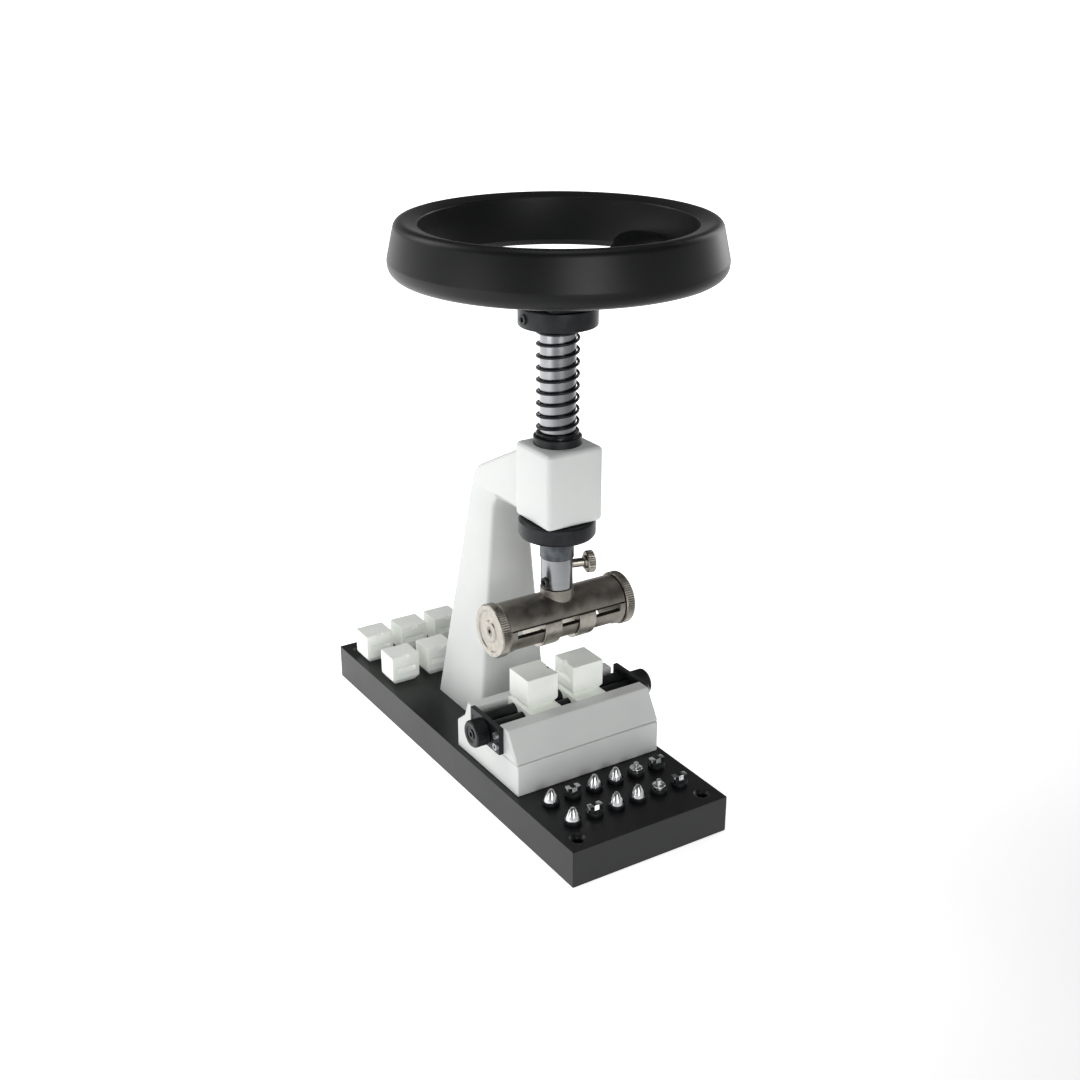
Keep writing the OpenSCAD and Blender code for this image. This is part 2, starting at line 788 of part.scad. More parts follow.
// Points as [angle around the spindle, height above the foot, steepness of the wire]
function spring_start() = concat(
    [[0, 0, 90], [0, spring_wire, 90]],
    [for (k = [1:spring_bend_steps])
        let (a = (90 - spring_slope) * k / spring_bend_steps)
        [spring_bend * (1 - cos(a)) / spring_r * 180 / PI, spring_wire + spring_bend * sin(a), 90 - a]]
);
spring_lead = spring_start()[len(spring_start()) - 1];
spring_turn = 360 * spring_curls;
function spring_curl() =
    let (n = spring_curls * curl_rings, low = spring_lead[1], high = spring_len - spring_lead[1])
    [for (k = [1:n - 1])
        [spring_lead[0] + spring_turn * k / n, low + (high - low) * k / n, spring_slope]];
function spring_end() =
    let (s = spring_start(), n = len(s))
    [for (k = [n - 1:-1:0])
        [2 * spring_lead[0] + spring_turn - s[k][0], spring_len - s[k][1], s[k][2]]];
spring_path = concat(spring_start(), spring_curl(), spring_end());

function spring_point(p) = [spring_r * cos(p[0]), spring_r * sin(p[0]), p[1]];

function spring_ring(p) =
    let (out = [cos(p[0]), sin(p[0]), 0], along = [-sin(p[0]), cos(p[0]), 0])
    let (up = -sin(p[2]) * along + cos(p[2]) * [0, 0, 1])
    [for (i = [0:wire_sides - 1])
        let (a = 360 * (i + 0.5) / wire_sides)
        spring_point(p) + spring_wire / 2 * (cos(a) * out + sin(a) * up)];

// Least gap between stretches of the wire that lie more than half a curl apart
spring_self_gap = min([
    for (i = [0:len(spring_path) - 1], j = [i + 6:len(spring_path) - 1])
        if (spring_path[j][0] - spring_path[i][0] > 180)
            norm(spring_point(spring_path[i]) - spring_point(spring_path[j])) - spring_wire
]);
echo(spring_self_gap = spring_self_gap);

module return_spring() color("#2b2d30") {
    n = len(spring_path);
    points = [for (p = spring_path) each spring_ring(p)];
    walls = [for (k = [0:n - 2], i = [0:wire_sides - 1])
        let (a = k * wire_sides + i, b = k * wire_sides + (i + 1) % wire_sides)
        each [[a, a + wire_sides, b], [b, a + wire_sides, b + wire_sides]]];
    last = (n - 1) * wire_sides;
    foot_cap = [for (i = [1:wire_sides - 2]) [0, i, i + 1]];
    top_cap = [for (i = [1:wire_sides - 2]) [last, last + i + 1, last + i]];
    translate([0, spindle_y, spring_foot])
        polyhedron(points = points, faces = concat(walls, foot_cap, top_cap));
}

module spring_washer() color("#232527") {
    difference() {
        translate([0, spindle_y, washer_bottom]) cylinder(d = spring_washer_d, h = spring_washer_h);
        translate([0, spindle_y, washer_bottom - 1])
            cylinder(d = spindle_d + 2 * run_gap, h = spring_washer_h + 2);
    }
}

// Spindle with a nose for the wheel, a threaded hole on top and a socket for the chuck stem
module spindle() color("#c3c6c9") {
    bore_d = chuck_stem_d + 2 * seat_gap;
    translate([0, spindle_y, 0])
        difference() {
            union() {
                translate([0, 0, ring_bottom]) cylinder(d = spindle_d, h = collar_top - ring_bottom);
                translate([0, 0, collar_top]) cylinder(d = nose_d, h = nose_top - collar_top);
            }
            translate([0, 0, ring_bottom - 1]) cylinder(d = bore_d, h = chuck_stem_len + 2);
            translate([0, 0, nose_top - screw_seat_depth])
                cylinder(d = wheel_screw_d / 2 + 2 * seat_gap, h = screw_seat_depth + 1);
        }
}

module hub_collar() color("#1f2022") {
    mid_z = collar_bottom + collar_h / 2;
    difference() {
        translate([0, spindle_y, collar_bottom]) cylinder(d = collar_d, h = collar_h);
        translate([0, spindle_y, collar_bottom - 1])
            cylinder(d = spindle_d + 2 * seat_gap, h = collar_h + 2);
        rod_x(-collar_d, 0, grub_d + 2 * seat_gap, spindle_y, mid_z);
    }
}

// Set screw with a hexagon socket, its inner end at x = near and its outer end at x = far
module set_screw(near, far) {
    socket = 0.55;
    rotate([0, 90, 0])
        difference() {
            translate([0, 0, near]) cylinder(d = grub_d, h = far - near);
            translate([0, 0, far - grub_d * 0.5]) cylinder(d = grub_d * socket, h = grub_d, $fn = 6);
        }
}

module collar_set_screw() color("#2a2b2d") {
    translate([0, spindle_y, collar_bottom + collar_h / 2])
        rotate([0, 0, 180]) set_screw(spindle_d / 2 + seat_gap, collar_d / 2 + 0.8);
}

// Rim section of the handwheel as radius and height
module rim_section() {
    under_rise = 2.8;
    wall_foot = 8;
    polygon(rounded_outline([
        [rim_inner, rim_bottom + under_rise, 2],
        [rim_inner, rim_top - rim_fall, 1],
        [wheel_r - rim_lean, rim_top, 4],
        [wheel_r, rim_bottom + wall_foot, 3],
        [wheel_r, rim_bottom, 6.5],
        [rim_inner + 1.5, rim_bottom, 1.5]
    ]));
}

// Side view of a dished spoke as radius and height above the collar
module spoke_outline() {
    hub_r = hub_d / 2;
    reach = rim_inner + 1.5;
    polygon(rounded_outline([
        [hub_r - 6, collar_top + 0.4, 0],
        [hub_r + 3, collar_top + 0.4, 4],
        [reach, rim_bottom + spoke_rise, 0],
        [reach, rim_bottom + spoke_rise + spoke_h, 0],
        [hub_r + 18, rim_bottom + spoke_h * 0.7, 8],
        [hub_r, collar_top + hub_h - 0.4, 4],
        [hub_r - 6, collar_top + hub_h - 0.4, 0]
    ]));
}

// Plan of a spoke, even near the hub and flared towards the rim
module spoke_plan() {
    hub_r = hub_d / 2;
    reach = rim_inner + 1.5;
    flare_start = rim_inner * 0.72;
    polygon(rounded_outline([
        [hub_r - 6, -spoke_hub_w / 2, 0],
        [flare_start, -spoke_hub_w / 2 - 1, 20],
        [reach, -spoke_rim_w / 2, 0],
        [reach, spoke_rim_w / 2, 0],
        [flare_start, spoke_hub_w / 2 + 1, 20],
        [hub_r - 6, spoke_hub_w / 2, 0]
    ]));
}

module handwheel() color("#17181a") {
    translate([0, spindle_y, 0])
        difference() {
            union() {
                rotate_extrude($fn = 160) rim_section();
                translate([0, 0, collar_top]) cylinder(d = hub_d, h = hub_h);
                for (k = [0:2])
                    rotate([0, 0, first_spoke_angle + 120 * k])
                        intersection() {
                            rotate([90, 0, 0])
                                linear_extrude(spoke_rim_w + 2, center = true) spoke_outline();
                            translate([0, 0, collar_top]) linear_extrude(rim_lift + rim_h) spoke_plan();
                        }
            }
            translate([0, 0, collar_top - 1]) cylinder(d = nose_d + 2 * seat_gap, h = hub_h + 2);
        }
}

module wheel_washer() color("#8d9094") {
    difference() {
        translate([0, spindle_y, hub_top]) cylinder(d = wheel_washer_d, h = wheel_washer_h);
        translate([0, spindle_y, hub_top - 1])
            cylinder(d = wheel_screw_d / 2 + 2 * seat_gap, h = wheel_washer_h + 2);
    }
}

module wheel_screw() color("#8d9094") {
    head = 2.8;
    translate([0, spindle_y, hub_top + wheel_washer_h + head])
        rotate([180, 0, 0])
            socket_screw(wheel_screw_d / 2, wheel_screw_d, head, screw_seat_depth - 1);
}

module stop_ring() color("#232527") {
    edge = 1.2;
    translate([0, spindle_y, ring_bottom])
        rotate_extrude()
            polygon([
                [spindle_d / 2 + seat_gap, 0],
                [ring_d / 2 - edge, 0],
                [ring_d / 2, edge],
                [ring_d / 2, ring_h - edge / 2],
                [ring_d / 2 - edge / 2, ring_h],
                [spindle_d / 2 + seat_gap, ring_h]
            ]);
}

module chuck_sleeve() color("#4a4d50") {
    difference() {
        translate([0, spindle_y, sleeve_bottom]) cylinder(d = sleeve_d, h = sleeve_h);
        translate([0, spindle_y, sleeve_bottom - 1])
            cylinder(d = chuck_stem_d + 2 * seat_gap, h = sleeve_h + 2);
    }
}

module chuck() color("#c9ccce") {
    stem_top = ring_bottom + chuck_stem_len;
    difference() {
        translate([0, spindle_y, 0]) {
            translate([0, 0, chuck_bottom]) cylinder(d = chuck_d, h = chuck_len);
            translate([0, 0, sleeve_bottom]) cylinder(d = chuck_stem_d, h = stem_top - sleeve_bottom);
        }
        translate([0, spindle_y, chuck_bottom - 1])
            cylinder(d = shank_d + 2 * seat_gap, h = shank_len + 2);
        translate([0, spindle_y, thumb_z])
            rotate([0, 90, thumb_angle]) cylinder(d = thumb_stem_d + 2 * run_gap, h = chuck_d);
        translate([0, spindle_y, grub_z])
            rotate([0, 90, grub_angle]) cylinder(d = grub_d + 2 * seat_gap, h = chuck_d);
    }
}

module chuck_set_screw() color("#1d1e20") {
    translate([0, spindle_y, grub_z])
        rotate([0, 0, grub_angle]) set_screw(shank_d / 2 + seat_gap, chuck_d / 2 + 0.8);
}

module thumb_screw() color("#a9a59c") {
    head_x = chuck_d / 2 + thumb_stem_len;
    edge = 0.6;
    translate([0, spindle_y, thumb_z])
        rotate([0, 90, thumb_angle])
            rotate_extrude()
                polygon([
                    [0, shank_d / 2 + run_gap],
                    [thumb_stem_d / 2, shank_d / 2 + run_gap],
                    [thumb_stem_d / 2, head_x],
                    [thumb_head_d / 2 - edge, head_x],
                    [thumb_head_d / 2, head_x + edge],
                    [thumb_head_d / 2, head_x + thumb_head_len - edge],
                    [thumb_head_d / 2 - edge, head_x + thumb_head_len],
                    [0, head_x + thumb_head_len]
                ]);
}

// Opener head: a tube across the spindle with a pocket underneath and a window in front
module opener_tube() color("#77736b") {
    difference() {
        union() {
            rod_x(-tube_len / 2, tube_len / 2, tube_d, spindle_y, head_axis);
            translate([0, spindle_y, head_axis]) cylinder(d = neck_d, h = neck_h);
            translate([0, spindle_y, head_axis]) cylinder(d = shank_d, h = neck_h + shank_len);
        }
        translate([-pocket_len / 2, spindle_y - pocket_w / 2, head_axis - tube_d])
            cube([pocket_len, pocket_w, tube_d + pocket_top]);
        translate([-pocket_len / 2, spindle_y - tube_d, head_axis + window_up - window_h / 2])
            cube([pocket_len, tube_d, window_h]);
        rod_x(-tube_len, tube_len, head_screw_d + 2 * run_gap, spindle_y, head_axis);
    }
}

module opener_screw() color("#8f8c85") {
    face_x = end_knob_x + end_knob_len;
    difference() {
        rod_x(-face_x, face_x, head_screw_d, spindle_y, head_axis);
        for (side = [-1, 1])
            translate([side * face_x, spindle_y, head_axis])
                rotate([0, side * 90, 0])
                    translate([0, 0, -2]) cylinder(d = head_screw_d * 0.5, h = 3, $fn = 6);
    }
}

module opener_knob(side) {
    x0 = side > 0 ? end_knob_x : -end_knob_x - end_knob_len;
    edge = 0.7;
    translate([x0, spindle_y, head_axis])
        rotate([0, 90, 0])
            rotate_extrude()
                polygon([
                    [head_screw_d / 2 + seat_gap, 0],
                    [end_knob_d / 2 - edge, 0],
                    [end_knob_d / 2, edge],
                    [end_knob_d / 2, end_knob_len - edge],
                    [end_knob_d / 2 - edge, end_knob_len],
                    [head_screw_d / 2 + seat_gap, end_knob_len]
                ]);
}

module opener_knob_left() color("#b9b5ac") opener_knob(-1);

module opener_knob_right() color("#a5a198") opener_knob(1);

// Bit carrier: a block on the screw, with a lug through the window and a shoe round the tube
module bit_carrier(side) {
    gap = air_gap;
    shoe_in = tube_r + gap;
    shoe_out = shoe_in + shoe_t;
    block_top = pocket_top - gap;
    lug_h = window_h - 2 * gap;
    block_w = pocket_w - 2 * gap;
    x0 = side * carrier_out - carrier_len / 2;
    // The foot is cut flat, as wide as the collar of a bit that seats on it
    foot_z = sqrt(shoe_out * shoe_out - bit_d * bit_d / 4);
    bit_hole_depth = bit_stem_len + 0.5;
    translate([0, spindle_y, head_axis])
        difference() {
            union() {
                intersection() {
                    translate([x0, -block_w / 2, -tube_d]) cube([carrier_len, block_w, tube_d + block_top]);
                    rod_x(x0, x0 + carrier_len, 2 * shoe_out, 0, 0);
                }
                translate([x0, -shoe_in - shoe_t / 2, window_up - lug_h / 2])
                    cube([carrier_len, shoe_in, lug_h]);
                intersection() {
                    difference() {
                        rod_x(x0, x0 + carrier_len, 2 * shoe_out, 0, 0);
                        rod_x(x0 - 1, x0 + carrier_len + 1, 2 * shoe_in, 0, 0);
                    }
                    translate([x0, -tube_d, -tube_d])
                        cube([carrier_len, tube_d - block_w / 2 + 1, tube_d + window_up + lug_h / 2]);
                }
            }
            rod_x(x0 - 1, x0 + carrier_len + 1, head_screw_d + 2 * run_gap, 0, 0);
            translate([side * carrier_out, 0, -foot_z - 1]) cylinder(d = bit_hole_d, h = bit_hole_depth + 1);
            translate([x0 - 1, -tube_d, -foot_z - tube_d]) cube([carrier_len + 2, 2 * tube_d, tube_d]);
        }
}

module bit_carrier_left() color("#c9c6bd") bit_carrier(-1);

module bit_carrier_right() color("#c9c6bd") bit_carrier(1);

base_plate();
c_frame();
frame_bolts();
upper_bush();
lower_bush();
vice_body();
vice_bolts();
vice_front_rail();
rail_screws();
vice_plate_left();
vice_plate_right();
plate_screws();
guide_rod();
jaw_pegs();
spring_washer();
return_spring();
spindle();
hub_collar();
collar_set_screw();
handwheel();
wheel_washer();
wheel_screw();
stop_ring();
chuck_sleeve();
chuck();
chuck_set_screw();
opener_tube();
thumb_screw();
opener_screw();
opener_knob_left();
opener_knob_right();
bit_carrier_left();
bit_carrier_right();
vice_screw();
vice_knob_left();
vice_knob_right();
jaw_carrier_left();
jaw_left();
jaw_carrier_right();
jaw_right();
for (i = [1:8])
    spare_jaw(i);
for (i = [1:6])
    spare_bits(i);
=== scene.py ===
"""Bench press for screwed watch case backs with its case vice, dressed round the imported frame.

It stands on a pale floor in soft studio light. Lengths are written in millimetres and made
metres by MM. Up is +Z, and the user stands on the -Y side.
"""
import json
import math

import bmesh
import bpy
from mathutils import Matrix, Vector


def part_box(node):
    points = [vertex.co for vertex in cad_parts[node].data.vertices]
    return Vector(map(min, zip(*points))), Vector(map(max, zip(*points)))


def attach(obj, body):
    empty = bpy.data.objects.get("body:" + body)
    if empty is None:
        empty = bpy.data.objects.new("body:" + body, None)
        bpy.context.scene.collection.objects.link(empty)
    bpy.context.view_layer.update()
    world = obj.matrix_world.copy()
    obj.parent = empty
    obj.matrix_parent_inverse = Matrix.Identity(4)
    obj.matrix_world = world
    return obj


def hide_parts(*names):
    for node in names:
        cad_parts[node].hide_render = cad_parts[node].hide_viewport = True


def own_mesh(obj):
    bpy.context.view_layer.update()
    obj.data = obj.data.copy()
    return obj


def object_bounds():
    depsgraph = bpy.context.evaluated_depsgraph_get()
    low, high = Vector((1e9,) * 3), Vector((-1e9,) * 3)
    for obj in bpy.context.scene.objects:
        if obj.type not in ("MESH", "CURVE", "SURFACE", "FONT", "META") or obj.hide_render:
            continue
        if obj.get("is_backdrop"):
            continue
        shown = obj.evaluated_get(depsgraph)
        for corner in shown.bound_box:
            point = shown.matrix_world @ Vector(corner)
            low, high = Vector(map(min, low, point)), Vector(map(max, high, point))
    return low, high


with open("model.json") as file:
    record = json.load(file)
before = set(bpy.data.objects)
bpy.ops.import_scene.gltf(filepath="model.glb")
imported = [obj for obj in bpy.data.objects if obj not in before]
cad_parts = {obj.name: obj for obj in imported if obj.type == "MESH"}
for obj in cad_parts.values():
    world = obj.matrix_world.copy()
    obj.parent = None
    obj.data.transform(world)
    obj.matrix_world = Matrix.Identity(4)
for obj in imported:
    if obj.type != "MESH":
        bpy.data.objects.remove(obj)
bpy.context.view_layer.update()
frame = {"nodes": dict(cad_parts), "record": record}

MM = 0.001
X, Y, Z = Vector((1, 0, 0)), Vector((0, 1, 0)), Vector((0, 0, 1))
MERGE_GAP = 0.004 * MM
ROUND = 96
HOLE_STEPS = 40
# Nearly all of a noise's values lie between these two
NOISE_LOW, NOISE_HIGH = 0.3, 0.7
FINISH = {}


# Finishes

def linear(hex_colour):
    """An sRGB hex colour as linear red, green, blue and alpha."""
    parts = [int(hex_colour[i:i + 2], 16) / 255 for i in (1, 3, 5)]
    return [c / 12.92 if c <= 0.04045 else ((c + 0.055) / 1.055) ** 2.4 for c in parts] + [1.0]


def per_metre(size_mm):
    """Texture scale whose features are about as large as size_mm."""
    return 1 / (size_mm * MM)


def add_node(tree, kind, settings, links=()):
    """Adds one node with its settings, and its inputs linked from other nodes' outputs."""
    made = tree.nodes.new(kind)
    for name, value in settings.items():
        if isinstance(name, int) or name in made.inputs:
            made.inputs[name].default_value = value
        else:
            setattr(made, name, value)
    for name, source in links:
        tree.links.new(source, made.inputs[name])
    return made


def new_finish(slot, name, colour, **sockets):
    """A material for one of the record's slots; its even values sit on the shader's own sockets."""
    made = bpy.data.materials.new(name)
    made.use_nodes = True
    tree = made.node_tree
    shader = tree.nodes["Principled BSDF"]
    shader.inputs["Base Color"].default_value = linear(colour)
    for socket, value in sockets.items():
        shader.inputs[socket.replace("_", " ")].default_value = value
    place = add_node(tree, "ShaderNodeTexCoord", {}).outputs["Object"]
    FINISH.setdefault(slot, made)
    FINISH[name] = made
    return tree, shader, place


def uneven(tree, shader, place, size_mm, colours=None, roughness=None, stretch=(1, 1, 1)):
    """Lets the colour or the roughness wander between two values over patches of size_mm."""
    mapped = add_node(tree, "ShaderNodeMapping", {"Scale": stretch}, [("Vector", place)])
    noise = add_node(tree, "ShaderNodeTexNoise", {"Scale": per_metre(size_mm), "Detail": 4.0},
                     [("Vector", mapped.outputs["Vector"])])
    if colours:
        ramp = add_node(tree, "ShaderNodeValToRGB", {}, [("Fac", noise.outputs["Fac"])])
        for stop, at, colour in zip(ramp.color_ramp.elements, (NOISE_LOW, NOISE_HIGH), colours):
            stop.position, stop.color = at, linear(colour)
        tree.links.new(ramp.outputs["Color"], shader.inputs["Base Color"])
    if roughness:
        spread = add_node(tree, "ShaderNodeMapRange", {
            "From Min": NOISE_LOW, "From Max": NOISE_HIGH, "To Min": roughness[0],
            "To Max": roughness[1]}, [("Value", noise.outputs["Fac"])])
        tree.links.new(spread.outputs["Result"], shader.inputs["Roughness"])


def textured(tree, shader, place, layers):
    """Stacks bumps. Each layer is (grain in mm, depth in mm, stretch of the pattern)."""
    below = None
    for size_mm, depth_mm, stretch in layers:
        mapped = add_node(tree, "ShaderNodeMapping", {"Scale": stretch}, [("Vector", place)])
        noise = add_node(tree, "ShaderNodeTexNoise", {"Scale": per_metre(size_mm), "Detail": 2.0},
                         [("Vector", mapped.outputs["Vector"])])
        links = [("Height", noise.outputs["Fac"])] + ([("Normal", below)] if below else [])
        bump = add_node(tree, "ShaderNodeBump", {"Strength": 1.0, "Distance": depth_mm * MM}, links)
        below = bump.outputs["Normal"]
    tree.links.new(below, shader.inputs["Normal"])


EVEN = (1, 1, 1)
ROUND_THE_SHAFT = (0.02, 0.02, 1)
ALONG_THE_HEAD = (0.03, 1, 1)
SAWN_LEVEL = (1, 1, 0.2)

# Satin black enamel sprayed on milled steel: near black, a broad soft sheen, faint orange peel
tree, shader, place = new_finish("base_black", "satin_black_enamel", "#151618", Roughness=0.36,
                                 Specular_IOR_Level=0.35)
uneven(tree, shader, place, 28, ("#121315", "#17181A"), (0.32, 0.4))
textured(tree, shader, place, [(1.6, 0.012, EVEN), (14, 0.05, EVEN)])

# Light grey semi-gloss enamel on cast iron: smooth and soft, a little wavy from the casting
tree, shader, place = new_finish("casting_grey", "light_grey_enamel", "#D8DAD8", Roughness=0.42)
uneven(tree, shader, place, 22, ("#D5D7D6", "#DBDDDB"), (0.38, 0.5))
textured(tree, shader, place, [(1.8, 0.014, EVEN), (16, 0.09, EVEN)])

# Black powder coat on the cast wheel: matte with a fine grain and a wide, weak highlight
tree, shader, place = new_finish("wheel_black", "black_powder_coat", "#08090A", Roughness=0.4,
                                 Specular_IOR_Level=0.27)
uneven(tree, shader, place, 35, ("#070809", "#0A0B0C"), (0.36, 0.44))
textured(tree, shader, place, [(0.8, 0.012, EVEN)])

# Black oxide on turned steel: dark blue-grey skin, a dull metal glint along the edges
tree, shader, place = new_finish("black_oxide", "black_oxide_steel", "#1E2022",
                                 Roughness=0.42, Metallic=0.55)
uneven(tree, shader, place, 5, ("#191A1C", "#26282B"), (0.36, 0.5))
textured(tree, shader, place, [(0.9, 0.006, EVEN)])

# Ground bright steel: sharp light and dark bands, with the grinder's rings round the shaft
tree, shader, place = new_finish("spindle_steel", "ground_steel", "#8F9193",
                                 Roughness=0.2, Metallic=1.0)
uneven(tree, shader, place, 1.2, None, (0.16, 0.28), ROUND_THE_SHAFT)
textured(tree, shader, place, [(0.7, 0.003, ROUND_THE_SHAFT)])

# Oil-tempered black spring wire: dark with a tight glossy line along each curl
tree, shader, place = new_finish("spring_steel", "tempered_spring_wire", "#1B1C1E",
                                 Roughness=0.3, Metallic=0.7)
uneven(tree, shader, place, 3, ("#17181A", "#232528"), (0.26, 0.38))

# Burnished steel sleeve: dark grey with mottled patches
tree, shader, place = new_finish("sleeve_steel", "burnished_steel", "#54575A",
                                 Roughness=0.34, Metallic=1.0)
uneven(tree, shader, place, 3.5, ("#45484B", "#63666A"), (0.28, 0.42))

# Brushed gunmetal nickel on the opener head: warm grey, cloudy, drawn along its length
tree, shader, place = new_finish("head_steel", "brushed_gunmetal", "#8C8780",
                                 Roughness=0.4, Metallic=1.0)
uneven(tree, shader, place, 6, ("#7D7871", "#98938B"), (0.36, 0.5))
textured(tree, shader, place, [(0.5, 0.008, ALONG_THE_HEAD), (2.4, 0.02, EVEN)])

# Turned nickel plate: pale and warm, with fine rings left by the lathe
tree, shader, place = new_finish("knob_steel", "turned_nickel", "#A6A199",
                                 Roughness=0.3, Metallic=1.0)
uneven(tree, shader, place, 2.5, ("#98938A", "#B2ADA5"), (0.26, 0.38))
textured(tree, shader, place, [(0.6, 0.006, EVEN)])

# Zinc plate on small screws: mid grey, slightly cloudy
tree, shader, place = new_finish("screw_steel", "zinc_plate", "#A6A9AC",
                                 Roughness=0.34, Metallic=1.0)
uneven(tree, shader, place, 1.5, ("#94979B", "#B4B7BA"), (0.28, 0.42))

# Cast nylon: milky white, faintly green, a soft dull gloss with light saw marks, and a painted
# even glow (emission) that stands in for the light that soaks in and comes out again
tree, shader, place = new_finish("jaw_nylon", "milky_nylon", "#F3F7F1", Roughness=0.45,
                                 Emission_Strength=0.07)
shader.inputs["Emission Color"].default_value = linear("#F1F8EF")
uneven(tree, shader, place, 9, ("#EEF2EB", "#F7FAF5"), (0.4, 0.52))
textured(tree, shader, place, [(0.9, 0.012, SAWN_LEVEL)])

# Burnished nickel on the bit carriers: greyer than the knobs, clouded by handling
tree, shader, place = new_finish("knob_steel", "burnished_nickel", "#A19C94",
                                 Roughness=0.42, Metallic=1.0)
uneven(tree, shader, place, 1.8, ("#8B867E", "#B5B0A8"), (0.34, 0.5))

# Polished steel on the tips of the bits: bright, with a few soft scratches
tree, shader, place = new_finish("bit_steel", "polished_steel", "#D3D5D6",
                                 Roughness=0.14, Metallic=1.0)
uneven(tree, shader, place, 1.2, None, (0.1, 0.2))


# Modelling

def hold(piece):
    """Makes the piece the only one that the next operators act on."""
    bpy.ops.object.select_all(action="DESELECT")
    piece.select_set(True)
    bpy.context.view_layer.objects.active = piece


def settle(piece):
    """Puts the piece's place, turn and size into its mesh."""
    hold(piece)
    bpy.ops.object.transform_apply(location=True, rotation=True, scale=True)
    return piece


def pick(piece, kind, wanted):
    """In edit mode, selects the points, edges or faces of the piece that wanted accepts."""
    bpy.ops.mesh.select_mode(type=kind)
    bpy.ops.mesh.select_all(action="DESELECT")
    mesh = bmesh.from_edit_mesh(piece.data)
    for part in {"VERT": mesh.verts, "EDGE": mesh.edges, "FACE": mesh.faces}[kind]:
        if wanted(part):
            part.select_set(True)
    mesh.select_flush_mode()
    bmesh.update_edit_mesh(piece.data)


def close_up(piece):
    """Merges what meets, turns all faces outwards and leaves edit mode."""
    bpy.ops.mesh.select_all(action="SELECT")
    bpy.ops.mesh.remove_doubles(threshold=MERGE_GAP)
    bpy.ops.mesh.normals_make_consistent(inside=False)
    bpy.ops.object.mode_set(mode="OBJECT")
    return piece


def arc_corners(corners, steps=5):
    """The closed outline of corners (across, up, radius), with an arc wherever radius isn't 0."""
    outline = []
    for i, (across, up, radius) in enumerate(corners):
        here = Vector((across, up))
        if not radius:
            outline.append(here)
            continue
        back = (Vector(corners[i - 1][:2]) - here).normalized()
        ahead = (Vector(corners[(i + 1) % len(corners)][:2]) - here).normalized()
        half = back.angle(ahead) / 2
        centre = here + (back + ahead).normalized() * radius / math.sin(half)
        first, last = (here + way * radius / math.tan(half) - centre for way in (back, ahead))
        start = math.atan2(first.y, first.x)
        sweep = (math.atan2(last.y, last.x) - start + math.pi) % math.tau - math.pi
        for k in range(steps + 1):
            angle = start + sweep * k / steps
            outline.append(centre + radius * Vector((math.cos(angle), math.sin(angle))))
    return outline


def drawn(name, points):
    """A line drawn from point to point by extruding its end. It is left in edit mode."""
    bpy.ops.object.select_all(action="DESELECT")
    bpy.ops.mesh.primitive_plane_add(size=MM, location=points[0] * MM)
    piece = bpy.context.object
    piece.name = piece.data.name = name
    settle(piece)
    bpy.ops.object.mode_set(mode="EDIT")
    bpy.ops.mesh.select_mode(type="VERT")
    bpy.ops.mesh.select_all(action="SELECT")
    bpy.ops.mesh.merge(type="CENTER")
    for here, there in zip(points, points[1:]):
        bpy.ops.mesh.extrude_region_move(TRANSFORM_OT_translate={"value": (there - here) * MM})
    return piece


def join_ends(piece):
    """Closes the drawn line with an edge between its two ends."""
    pick(piece, "VERT", lambda point: len(point.link_edges) == 1)
    bpy.ops.mesh.edge_face_add()


def bar(name, points, along):
    """A bar: the outline is drawn, filled and extruded along a vector."""
    piece = drawn(name, points)
    join_ends(piece)
    bpy.ops.mesh.select_all(action="SELECT")
    bpy.ops.mesh.edge_face_add()
    bpy.ops.mesh.extrude_region_move(TRANSFORM_OT_translate={"value": along * MM})
    return close_up(piece)


def across_bar(name, outline, half_width):
    """A bar whose outline is seen from the side, drawn out evenly to both sides of X = 0."""
    return bar(name, [Vector((-half_width, y, z)) for y, z in outline], X * 2 * half_width)


def turned(name, outline, base=Vector(), axis=Z, steps=ROUND, ring=True):
    """A turned piece. Its outline, as radius and height, is spun round the axis.
    A ring's outline is closed; any other starts and ends on the axis."""
    out = X if abs(axis.z) > 0.5 else Z
    piece = drawn(name, [base + out * radius + axis * height for radius, height in outline])
    if ring:
        join_ends(piece)
    bpy.ops.mesh.select_all(action="SELECT")
    bpy.ops.mesh.spin(steps=steps, angle=math.tau, center=base * MM, axis=axis)
    return close_up(piece)


def rod(name, radius, low, high, base=Vector(), axis=Z, steps=ROUND):
    """A turned rod from low to high along its axis, to join on or to bore a hole with."""
    return turned(name, [(0, low), (radius, low), (radius, high), (0, high)], base, axis, steps,
                  ring=False)


def block(name, low, high):
    """A cube at its size and place, the start of a block or a cutter."""
    bpy.ops.object.select_all(action="DESELECT")
    bpy.ops.mesh.primitive_cube_add(size=MM, location=(low + high) / 2 * MM, scale=high - low)
    piece = bpy.context.object
    piece.name = piece.data.name = name
    return settle(piece)


def combine(piece, tool, how="DIFFERENCE"):
    """Cuts the tool from the piece, joins it on or keeps what both share, and removes the tool."""
    hold(piece)
    step = piece.modifiers.new("combine", "BOOLEAN")
    step.operation, step.solver, step.object = how, "EXACT", tool
    bpy.ops.object.modifier_apply(modifier=step.name)
    bpy.data.objects.remove(tool)
    return piece


def smooth(piece, sharper_than=35):
    """Smooth shading that keeps the sharper edges."""
    hold(piece)
    bpy.ops.object.shade_smooth_by_angle(angle=math.radians(sharper_than))
    return piece


